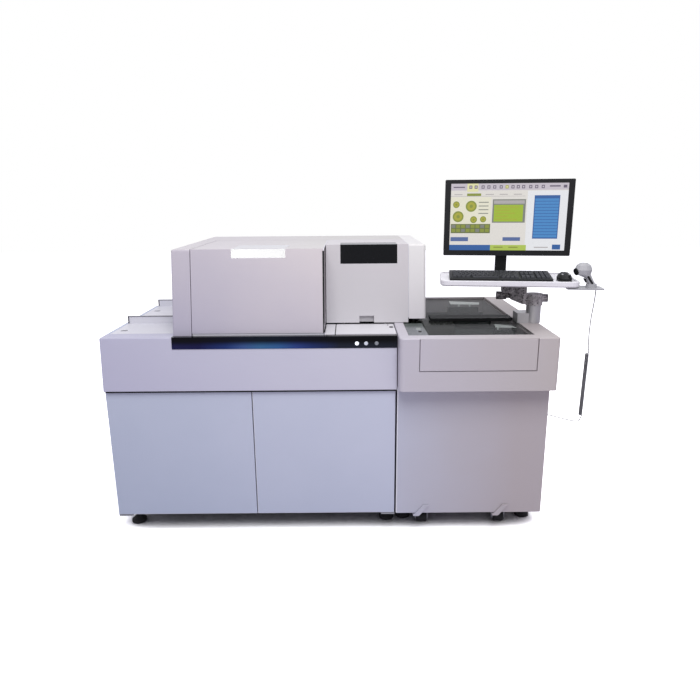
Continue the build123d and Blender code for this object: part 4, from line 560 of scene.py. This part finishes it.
def add_block(shape, low, high, rounding=0.0, frame_matrix=None, ink=0):
    """A box between two corners in millimetres, with rounded edges, added to a mesh."""
    low, high = Vector(low) * MM, Vector(high) * MM
    if frame_matrix is None:
        frame_matrix = Matrix.Translation((SPLIT * MM, DOOR * MM, 0))
    made = bmesh.ops.create_cube(shape, size=1.0)["verts"]
    size = Matrix.Diagonal((*(high - low), 1.0))
    bmesh.ops.transform(shape, verts=made,
                        matrix=frame_matrix @ Matrix.Translation((low + high) / 2) @ size)
    faces = {face for vert in made for face in vert.link_faces}
    for face in faces:
        face.material_index = ink
    if rounding:
        edges = list({edge for vert in made for edge in vert.link_edges})
        bmesh.ops.bevel(shape, geom=edges, offset=rounding * MM, offset_type="OFFSET", segments=2,
                        profile=0.5, affect="EDGES", material=-1)
    return made


def add_disc(shape, centre, axis, radius, thick, sides=24, frame_matrix=None, ink=0):
    """A flat cylinder in millimetres whose middle is at centre, added to a mesh."""
    if frame_matrix is None:
        frame_matrix = Matrix.Translation((SPLIT * MM, DOOR * MM, 0))
    made = bmesh.ops.create_cone(shape, cap_ends=True, segments=sides, radius1=radius * MM,
                                 radius2=radius * MM, depth=thick * MM)["verts"]
    lean = Vector((0, 0, 1)).rotation_difference(Vector(axis)).to_matrix().to_4x4()
    bmesh.ops.transform(shape, verts=made,
                        matrix=frame_matrix @ Matrix.Translation(Vector(centre) * MM) @ lean)
    for face in {face for vert in made for face in vert.link_faces}:
        face.material_index = ink
    return made


def thicken(shape, corners, offset):
    """A flat outline given as points, drawn out by an offset into a closed plate."""
    flat = shape.faces.new([shape.verts.new(corner) for corner in corners])
    grown = bmesh.ops.extrude_face_region(shape, geom=[flat])["geom"]
    moved = [part for part in grown if isinstance(part, bmesh.types.BMVert)]
    bmesh.ops.translate(shape, verts=moved, vec=offset)
    bmesh.ops.recalc_face_normals(shape, faces=shape.faces[:])


def finish_piece(shape, name, materials, body):
    """Turn a bmesh into a piece that rides on a body and takes a material slot's finish."""
    data = bpy.data.meshes.new(name)
    shape.to_mesh(data)
    shape.free()
    for material in materials:
        data.materials.append(material)
    piece = bpy.data.objects.new(name, data)
    bpy.context.scene.collection.objects.link(piece)
    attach(piece, body)
    print(name, len(data.polygons), "faces")
    return piece


# %% [markdown]
# ## Rubber edgings and seams
# The two lift-off covers at the left end in upturned flanges whose top and outer edges
# wear a push-on rubber profile; its top run is painted lighter, a painted highlight.
# Along its slanted front the main lid seals against the smaller one with a black gasket,
# seen edge-on as a thin dark line, and a black sheet on its cheek behind that is painted
# shade.  On the roof the joint is covered by a white strip.

# %% Cover edgings
TOP_Z, FLANGE_H, SHEET = 897.0, 34.0, 4.0
COVER_LEFT, COVER_RIGHT = -1224.0, -943.0
edging = bmesh.new()
for flange_depth in (308.0, 764.0):
    near, far = flange_depth - 1.2, flange_depth + SHEET + 1.2
    # Painted highlight: the top run of the profile takes the lighter grey, and the ends keep the
    # dark rubber.
    add_block(edging, (COVER_LEFT - 2, near, TOP_Z + FLANGE_H - 3.5),
              (COVER_RIGHT + 1, far, TOP_Z + FLANGE_H + 1.6), 1.2)
    add_block(edging, (COVER_LEFT - 2, near, TOP_Z + 0.5),
              (COVER_LEFT + 4, far, TOP_Z + FLANGE_H), 1.2, ink=1)
finish_piece(edging, "cover_edging", [edging_lit_top, edge_rubber], "base")

# %% Gasket of the main lid
HOOD_FRONT, HOOD_LEAN, HOOD_TOP_Z, LID_FOOT_Z, LID_HINGE = 30.0, 66.0, 1252.0, 908.0, 620.0
CREASE, LID_RIGHT = HOOD_FRONT + HOOD_LEAN, -307.0


def strip_along(shape, path, x_from, x_to, width):
    """A thin band between two X stations that follows a (depth, z) path on the outside."""
    rows = []
    for (d0, z0), (d1, z1) in zip(path, path[1:]):
        run = Vector((d1 - d0, z1 - z0)).normalized()
        out = Vector((-run.y, run.x)) * width
        rows.append(((d0, z0), (d1, z1), out))
    outer = [Vector(path[0]) + rows[0][2]]
    for before, after in zip(rows, rows[1:]):
        outer.append(Vector(before[1]) + (before[2] + after[2]) / 2)
    outer.append(Vector(path[-1]) + rows[-1][2])
    ring = [Vector(p) for p in path] + outer[::-1]
    thicken(shape, [at(x_from, p.x, p.y) for p in ring], ((x_to - x_from) * MM, 0, 0))


lid_path = [(HOOD_FRONT, LID_FOOT_Z), (CREASE - 1.6, HOOD_TOP_Z - 9)]
roof_path = [lid_path[1], (CREASE + 8, HOOD_TOP_Z - 0.6), (LID_HINGE - 4, HOOD_TOP_Z - 0.6)]
gasket = bmesh.new()
strip_along(gasket, lid_path, LID_RIGHT - 3.0, LID_RIGHT + 1.2, 1.2)
finish_piece(gasket, "lid_gasket", [gasket_black], "hood_lid")

# %% Sills, painted shade on the cheek and under the band, and ledge seams
COLUMN_X, CAP_X, STAT_FRONT, BAND_FOOT_Z = -862.0, 70.0, 235.0, 667.0
# Painted shade: a black sheet covers the main lid's cheek, the side face of its step back to the
# smaller lid, for the shade that lies there.
cheek_shade = bmesh.new()
outline = [(HOOD_FRONT + 2, LID_FOOT_Z + 30), (HOOD_FRONT + 70, LID_FOOT_Z + 30),
           (CREASE + 110, HOOD_TOP_Z - 12), (CREASE + 1, HOOD_TOP_Z - 12)]
thicken(cheek_shade, [at(LID_RIGHT + 0.3, *spot) for spot in outline], (1.2 * MM, 0, 0))
finish_piece(cheek_shade, "lid_cheek_painted_shade", [gasket_black], "hood_lid")

sill = bmesh.new()
add_block(sill, (COLUMN_X + 4, HOOD_FRONT + 2.5, TOP_Z + 0.5),
          (LID_RIGHT - 1, HOOD_FRONT + 8, LID_FOOT_Z - 0.6), 1.0)
stat_path = [(STAT_FRONT + 3, LID_FOOT_Z + 22), (STAT_FRONT + HOOD_LEAN + 0.5, HOOD_TOP_Z - 10),
             (STAT_FRONT + HOOD_LEAN + 9, HOOD_TOP_Z - 1.5), (LID_HINGE - 4, HOOD_TOP_Z - 1.5)]
strip_along(sill, stat_path, CAP_X - 2.7, CAP_X - 0.3, 1.0)
roof_seal = bmesh.new()
strip_along(roof_seal, roof_path, LID_RIGHT + 0.2, LID_RIGHT + 3.4, 0.6)
finish_piece(roof_seal, "roof_seal", [side_abs], "hood_lid")
finish_piece(sill, "lid_sill", [side_abs], "base")

LEDGE_SEAM, LEDGE_SEAM_TOP = (-261.5, -257.5), 902.3
band_shade_and_seams = bmesh.new()
# Painted shade: a black strip under the front band's foot stands in for the band's shadow on the
# tops of the doors; the next two blocks are the dark seam across the ledge.
add_block(band_shade_and_seams, (-1230, -12.8, BAND_FOOT_Z - 3.4), (-5, -8.5, BAND_FOOT_Z + 2.6), 0.6)
add_block(band_shade_and_seams, (LEDGE_SEAM[0], HOOD_FRONT + 2, 900.2),
          (LEDGE_SEAM[1], STAT_FRONT - 2, LEDGE_SEAM_TOP))
add_block(band_shade_and_seams, (LEDGE_SEAM[0], HOOD_FRONT + 1.4, 897.4),
          (LEDGE_SEAM[1], HOOD_FRONT + 3, LEDGE_SEAM_TOP))
finish_piece(band_shade_and_seams, "band_shade_strip_and_ledge_seams", [gasket_black], "base")

# %% [markdown]
# ## Lock on the service ledge
# A small cam lock holds the bent panel in front of the smaller lid: a black barrel in a
# recess, with a slot for its key.

# %% Ledge lock
lock = bmesh.new()
add_disc(lock, (-16, 160, 902.2), (0, 0, 1), 9.4, 3.0, 24)
add_block(lock, (-17, 155.5, 903.4), (-15, 164.5, 904.2), 0.3)
add_disc(lock, (-28, 205, 902.2), (0, 0, 1), 4.0, 1.2, 16)
finish_piece(lock, "ledge_lock", [gasket_black], "base")

# %% [markdown]
# ## Under the smoked glass
# The sample probe serves a small station at the left end of the rack feeder: a pale lit
# plate with a white cup.  Further right a black rod crosses the lanes aslant and stops the
# racks, and two pale guide plates on short posts lie just below the glass.

# %% Station and rod
station = bmesh.new()
add_block(station, (53, -8, 876), (140, 332, 882), 1.5)
add_disc(station, (110, 202, 885), (0, 0, 1), 11, 6, 24, ink=1)
add_disc(station, (110, 150, 883), (0, 0, 1), 7, 4, 24, ink=2)
finish_piece(station, "probe_station", [station_white, marker_white, gasket_black], "base")
rod = bmesh.new()
rod_from, rod_to = Vector((551, 236, 882)), Vector((436, 74, 882))
add_disc(rod, (rod_from + rod_to) / 2, rod_to - rod_from, 5, (rod_to - rod_from).length, 16)
finish_piece(rod, "rack_stop_rod", [gasket_black], "base")

# %% Guide plates
PLATE_Z, LANE_FLOOR_Z, POST_HALF = 885, 792, 3
guides = bmesh.new()
for corners in (((362, 908), (520, 860), (508, 796), (356, 812)),
                ((469, 283), (540, 238), (549, 203), (458, 215))):
    thicken(guides, [at(x, depth, PLATE_Z) for x, depth in corners], (0, 0, 2 * MM))
    centre_x, centre_depth = (sum(spots) / 4 for spots in zip(*corners))
    for post_x in (centre_x - 30, centre_x + 30):
        add_block(guides, (post_x - POST_HALF, centre_depth - POST_HALF, LANE_FLOOR_Z),
                  (post_x + POST_HALF, centre_depth + POST_HALF, PLATE_Z + 0.5))
finish_piece(guides, "guide_plates", [marker_white], "base")

# %% [markdown]
# ## Keyboard
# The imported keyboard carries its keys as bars, one per row, which is enough for contact.
# Here each bar is cut into single caps.  A cap is a small block whose top is drawn in,
# like the frustum that fingers know, and every cap has only a few faces because there
# are about a hundred of them.

# %% Keycaps
DISH_Z = 1108.0
KEY_LEFT, KEY_RIGHT, KEY_FRONT, KEY_BACK = -378.0, 52.0, -132.0, 18.0
PITCH_MM, CAP = 18.6, 16.2
KEY_RISE = 18.0
KEY_ROWS = 5
key_slope = KEY_RISE / (KEY_BACK - KEY_FRONT)


def keycap(shape, x_from, x_to, y, z):
    """One cap, narrower at the top, on the console."""
    made = bmesh.ops.create_cube(shape, size=1.0)["verts"]
    low = Vector((x_from + 1.1, y - CAP / 2, z - 1)) * MM
    high = Vector((x_to - 1.1, y + CAP / 2, z + 7.2)) * MM
    for vert in made:
        if vert.co.z > 0:
            vert.co.x *= 1 - 3.4 / (x_to - x_from)
            vert.co.y = vert.co.y * 0.80 + 0.02
    bmesh.ops.transform(shape, verts=made, matrix=CONSOLE @ Matrix.Translation((low + high) / 2)
                        @ Matrix.Rotation(atan2(KEY_RISE, KEY_BACK - KEY_FRONT), 4, "X")
                        @ Matrix.Diagonal((*(high - low), 1.0)))


caps = bmesh.new()
bank_left = KEY_LEFT + 12
for row in range(KEY_ROWS + 1):
    y = KEY_FRONT + 14 + row * PITCH_MM + (5 if row == KEY_ROWS else 0)
    z = DISH_Z + 10 + key_slope * (y - KEY_FRONT)
    lead_in = (0.0, 1.3, 0.8, 0.5, 0.0, 0.0)[row]
    x = bank_left
    while x < bank_left + 15 * PITCH_MM - 4:
        wide = PITCH_MM * (1 + lead_in if x == bank_left else 1)
        if bank_left + 14 * PITCH_MM - x < wide * 0.99:
            wide = bank_left + 15 * PITCH_MM - x
        space_from, space_to = bank_left + 4.5 * PITCH_MM, bank_left + 10.5 * PITCH_MM
        over_space = row == 0 and x + wide > space_from and x < space_to
        if not over_space:
            keycap(caps, x, min(x + wide, bank_left + 15 * PITCH_MM), y, z)
        x += wide
    for bank in (15.5, 19.0 - 2 / PITCH_MM):
        for column in range(3):
            start = bank_left + (bank + column) * PITCH_MM
            if not (bank == 15.5 and row == 2):
                keycap(caps, start, start + PITCH_MM, y, z)
print(len(caps.verts) // 8, "keycaps")
finish_piece(caps, "keycaps", [key_abs], "console")

# %% Keyboard tray
deck = bmesh.new()
profile = [(KEY_FRONT, DISH_Z), (KEY_FRONT, DISH_Z + 8), (KEY_FRONT + 3, DISH_Z + 10.2),
           (KEY_BACK - 3, DISH_Z + 27.8), (KEY_BACK, DISH_Z + 26), (KEY_BACK, DISH_Z + 10),
           (KEY_FRONT + 50, DISH_Z)]
thicken(deck, [CONSOLE @ (Vector((KEY_LEFT, y, z)) * MM) for y, z in profile],
        CONSOLE.to_3x3() @ Vector(((KEY_RIGHT - KEY_LEFT) * MM, 0, 0)))
bmesh.ops.bevel(deck, geom=deck.edges[:], offset=0.8 * MM, offset_type="OFFSET", segments=2,
                profile=0.5, affect="EDGES", material=-1)
for leg_x in (KEY_LEFT + 20, KEY_RIGHT - 44):
    add_block(deck, (leg_x, KEY_BACK - 22, DISH_Z), (leg_x + 24, KEY_BACK - 13, DISH_Z + 13), 1.0,
              CONSOLE)
key_deck = finish_piece(deck, "keyboard_deck", [black_abs], "console")
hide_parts("keyboard")

# %% [markdown]
# ## Scanner window and painted highlight on the mouse
# The scanner reads through a dark oval window in the rim of its head, and a rubber strip
# runs down the front of its grip.  Two pale strips on the mouse's back are a painted
# highlight.  They are small rounded pieces let into the imported shapes, so a millimetre
# of each stands proud.

# %% Window, grip strip and painted highlight on the mouse
scanner_trim = bmesh.new()
add_disc(scanner_trim, (143, -126, 1150), (-1, -0.45, -0.3), 15, 9, 28, CONSOLE)
strip_top, strip_foot = Vector((187, -136, 1134)), Vector((209, -136.5, 1102))
add_disc(scanner_trim, (strip_top + strip_foot) / 2, strip_foot - strip_top, 4.2,
         (strip_foot - strip_top).length, 14, CONSOLE)
finish_piece(scanner_trim, "scanner_trim", [black_abs], "console")
MOUSE_X = 102
# Painted highlight: two pale strips on the mouse's back stand in for the light on its black shell.
band = bmesh.new()
for side in (-1, 1):
    sheen_x = MOUSE_X + side * 13
    add_block(band, (sheen_x - 4, -128, 1131), (sheen_x + 4, -86, 1139.5), 2.5, CONSOLE)
finish_piece(band, "mouse_painted_highlight", [scanner_abs], "console")

# %% [markdown]
# ## Picture on the screen
# The screen shows a control page without words: a row of icons, discs for the wheels, a
# table, a green panel and a blue list.  Each patch is a very thin tile that glows in its
# own colour, stacked a quarter of a millimetre in front of the one below.

# %% Inks of the screen
def screen_ink(name, code, strength=0.85):
    """A glowing patch of display; a faint fine noise breaks up its brightness."""
    material, tree, shader, place = new_finish(name, "#08090A", 0.25)
    level = spread(tree, grain(tree, place, 2.5, 1.0), 0.92, 1.04)
    tone = add_node(tree, "ShaderNodeMix", {"data_type": "RGBA", "blend_type": "MULTIPLY"},
                    Factor=1.0, i6=linear(code), i7=level).outputs[2]
    tree.links.new(tone, shader.inputs["Emission Color"])
    shader.inputs["Emission Strength"].default_value = strength
    return material


INKS = {"page": "#ECE8E2", "cream": "#F1EED9", "bar": "#D0C8D2", "icon": "#6E6478",
        "gold": "#B2B03A", "pale_gold": "#EDEBB4", "olive": "#8F9A3C", "moss": "#6C7640",
        "leaf": "#A6C232", "slate": "#858880", "sky": "#4A8FD0", "deep_sky": "#2F62A6",
        "steel": "#5A70A4", "mist": "#F3F4F8", "lime": "#B8CE58", "line": "#B9B4B4"}
ink_index = {name: index for index, name in enumerate(INKS)}
ink_materials = [screen_ink("display_" + name, code) for name, code in INKS.items()]

# %% Layout of the page
SCREEN_LEFT, SCREEN_RIGHT, SCREEN_LOW, SCREEN_TOP, SCREEN_Y = -380.0, 124.0, 1221.0, 1512.0, 60.0
SCREEN_WIDE, SCREEN_HIGH, TILE = SCREEN_RIGHT - SCREEN_LEFT, SCREEN_TOP - SCREEN_LOW, 0.25
picture = bmesh.new()


def tile(u0, v0, u1, v1, layer, ink):
    """A patch between two corners, counted from the top left as shares of the screen."""
    front = SCREEN_Y - TILE * layer
    left, right = SCREEN_LEFT + u0 * SCREEN_WIDE, SCREEN_LEFT + u1 * SCREEN_WIDE
    top, foot = SCREEN_TOP - v0 * SCREEN_HIGH, SCREEN_TOP - v1 * SCREEN_HIGH
    add_block(picture, (left, front - TILE, foot), (right, front, top), frame_matrix=CONSOLE,
              ink=ink_index[ink])


def dot(u, v, radius, layer, ink):
    """A round patch whose radius is a share of the screen's width."""
    front = SCREEN_Y - TILE * layer
    middle = (SCREEN_LEFT + u * SCREEN_WIDE, front - TILE / 2, SCREEN_TOP - v * SCREEN_HIGH)
    add_disc(picture, middle, (0, 1, 0), radius * SCREEN_WIDE, TILE, 32, CONSOLE, ink_index[ink])


tile(0, 0, 1, 1, 0, "page")
tile(0, 0, 1, 0.10, 1, "bar")
tile(0.14, 0.0, 0.235, 0.12, 2, "pale_gold")
tile(0.0, 0.20, 0.352, 0.62, 1, "cream")
tile(0.66, 0.11, 1, 1, 1, "mist")
icons = [0.17, 0.215, 0.275, 0.325, 0.375, 0.43, 0.48, 0.53, 0.575, 0.62, 0.68, 0.73, 0.785]
for place_u in icons:
    gold = abs(place_u - 0.48) < 0.01
    tile(place_u - 0.013, 0.028, place_u + 0.013, 0.076, 3, "gold" if gold else "icon")
    tile(place_u - 0.006, 0.040, place_u + 0.006, 0.064, 4, "pale_gold" if gold else "bar")
tile(0.02, 0.045, 0.12, 0.062, 2, "icon")
tile(0.84, 0.035, 0.93, 0.055, 2, "icon")
tile(0.955, 0.03, 0.985, 0.07, 2, "icon")
tile(0.0, 0.185, 0.64, 0.19, 2, "line")
tile(0.14, 0.145, 0.262, 0.183, 2, "olive")
for place_u in (0.03, 0.30, 0.42, 0.54):
    tile(place_u, 0.155, place_u + 0.07, 0.167, 2, "line")
for u, v, radius in ((0.18, 0.335, 0.048), (0.069, 0.49, 0.048), (0.05, 0.31, 0.029),
                     (0.205, 0.535, 0.03), (0.288, 0.53, 0.027)):
    dot(u, v, radius, 2, "olive")
    dot(u, v, radius * 0.72, 3, "gold")
    dot(u, v, radius * 0.30, 4, "olive")
for line in range(4):
    tile(0.245, 0.27 + 0.055 * line, 0.33, 0.283 + 0.055 * line, 2, "slate")
tile(0.008, 0.60, 0.352, 0.74, 2, "moss")
for row in range(2):
    for column in range(8):
        tile(0.014 + 0.042 * column, 0.612 + 0.062 * row, 0.048 + 0.042 * column,
             0.660 + 0.062 * row, 3, "olive" if (row + column) % 3 else "slate")
tile(0.365, 0.233, 0.648, 0.582, 2, "slate")
tile(0.375, 0.25, 0.638, 0.30, 3, "line")
tile(0.378, 0.315, 0.628, 0.565, 3, "leaf")
for line in range(5):
    tile(0.39, 0.345 + 0.045 * line, 0.39 + (0.20, 0.13, 0.17, 0.11, 0.19)[line],
         0.355 + 0.045 * line, 4, "gold")
tile(0.719, 0.178, 0.934, 0.822, 2, "deep_sky")
for line in range(13):
    tile(0.727, 0.225 + 0.045 * line, 0.926, 0.262 + 0.045 * line, 3, "sky")
tile(0.465, 0.80, 0.617, 0.856, 2, "steel")
tile(0.008, 0.80, 0.164, 0.863, 2, "steel")
tile(0.0, 0.918, 0.36, 1.0, 2, "deep_sky")
tile(0.36, 0.918, 0.672, 1.0, 2, "lime")
tile(0.39, 0.945, 0.47, 0.962, 3, "olive")
tile(0.52, 0.945, 0.60, 0.962, 3, "olive")
tile(0.74, 0.945, 0.86, 0.96, 2, "line")
tile(0.895, 0.91, 0.965, 0.985, 2, "deep_sky")
finish_piece(picture, "screen_picture", ink_materials, "monitor")

# %% [markdown]
# ## Studio
# The floor and the sky are white where the camera sees them.  For light that bounces, the
# floor is a pale grey and the sky is dimmer, so pale covers keep their shape.  The shadow
# under the cabinets is drawn by an occlusion node: the closer something stands over a spot
# of floor, the darker the camera sees it.  A large soft lamp hangs high at the front, a
# second one overhead, and a small window-like lamp puts a highlight on the lid's window.

# %% Floor, sky and lamps
floor_mesh = bmesh.new()
bmesh.ops.create_grid(floor_mesh, x_segments=1, y_segments=1, size=14.0)
floor_data = bpy.data.meshes.new("studio_floor")
floor_mesh.to_mesh(floor_data)
floor_mesh.free()
floor = bpy.data.objects.new("studio_floor", floor_data)
bpy.context.scene.collection.objects.link(floor)
floor_paint = bpy.data.materials.new("studio_floor_white")
floor_paint.use_nodes = True
tree = floor_paint.node_tree
tree.nodes.clear()
near = add_node(tree, "ShaderNodeAmbientOcclusion", {"samples": 6}, Distance=0.28)
open_share = add_node(tree, "ShaderNodeMapRange", Value=near.outputs["AO"], From_Min=0.20,
                      From_Max=0.54, To_Min=0.20, To_Max=2.8).outputs["Result"]
looked_at = add_node(tree, "ShaderNodeLightPath").outputs["Is Camera Ray"]
tone = add_node(tree, "ShaderNodeMix", {"data_type": "RGBA"}, Factor=looked_at,
                i6=linear("#DAD5E1"), i7=open_share).outputs[2]
paint = add_node(tree, "ShaderNodeBsdfDiffuse", Color=tone)
add_node(tree, "ShaderNodeOutputMaterial", Surface=paint.outputs["BSDF"])
floor_data.materials.append(floor_paint)

world = bpy.data.worlds.new("studio_sky")
bpy.context.scene.world = world
world.use_nodes = True
sky = world.node_tree
sky.nodes.clear()
rays = add_node(sky, "ShaderNodeLightPath")
seen = add_node(sky, "ShaderNodeMath", {"operation": "MAXIMUM"}, i0=rays.outputs["Is Camera Ray"],
                i1=rays.outputs["Is Transmission Ray"])
light = add_node(sky, "ShaderNodeBackground", Color=linear("#F6F5FC"), Strength=0.50)
gloss = add_node(sky, "ShaderNodeBackground", Color=linear("#F8F8FF"), Strength=1.0)
white = add_node(sky, "ShaderNodeBackground", Color=(1, 1, 1, 1), Strength=1.0)
softly = add_node(sky, "ShaderNodeMixShader", Fac=rays.outputs["Is Glossy Ray"],
                  i1=light.outputs[0], i2=gloss.outputs[0])
mixed = add_node(sky, "ShaderNodeMixShader", Fac=seen.outputs[0], i1=softly.outputs[0],
                 i2=white.outputs[0])
add_node(sky, "ShaderNodeOutputWorld", Surface=mixed.outputs[0])


def soft_lamp(name, spot, aim, size, power, tint="#FFFFFF"):
    """A square area lamp that looks from a spot at a point."""
    data = bpy.data.lights.new(name, "AREA")
    data.shape = "SQUARE"
    data.size = size
    data.energy = power
    data.color = linear(tint)[:3]
    lamp = bpy.data.objects.new(name, data)
    bpy.context.scene.collection.objects.link(lamp)
    look = (Vector(aim) - Vector(spot)).to_track_quat("-Z", "Y")
    lamp.matrix_world = Matrix.Translation(Vector(spot)) @ look.to_matrix().to_4x4()
    return lamp


soft_lamp("key_lamp", (0.1, -3.0, 4.1), (0.1, -0.2, 0.7), 2.4, 117)
soft_lamp("top_lamp", (0.3, 0.2, 4.6), (0, 0, 0.9), 3.0, 46)
window_lamp = soft_lamp("window_lamp", (-0.98, -4.14, 2.35), (-0.39, -0.34, 1.235), 0.7, 10)
window_lamp.data.shape = "RECTANGLE"
window_lamp.data.size_y = 0.34
window_lamp.visible_diffuse = False
bpy.context.scene.view_settings.view_transform = "Standard"
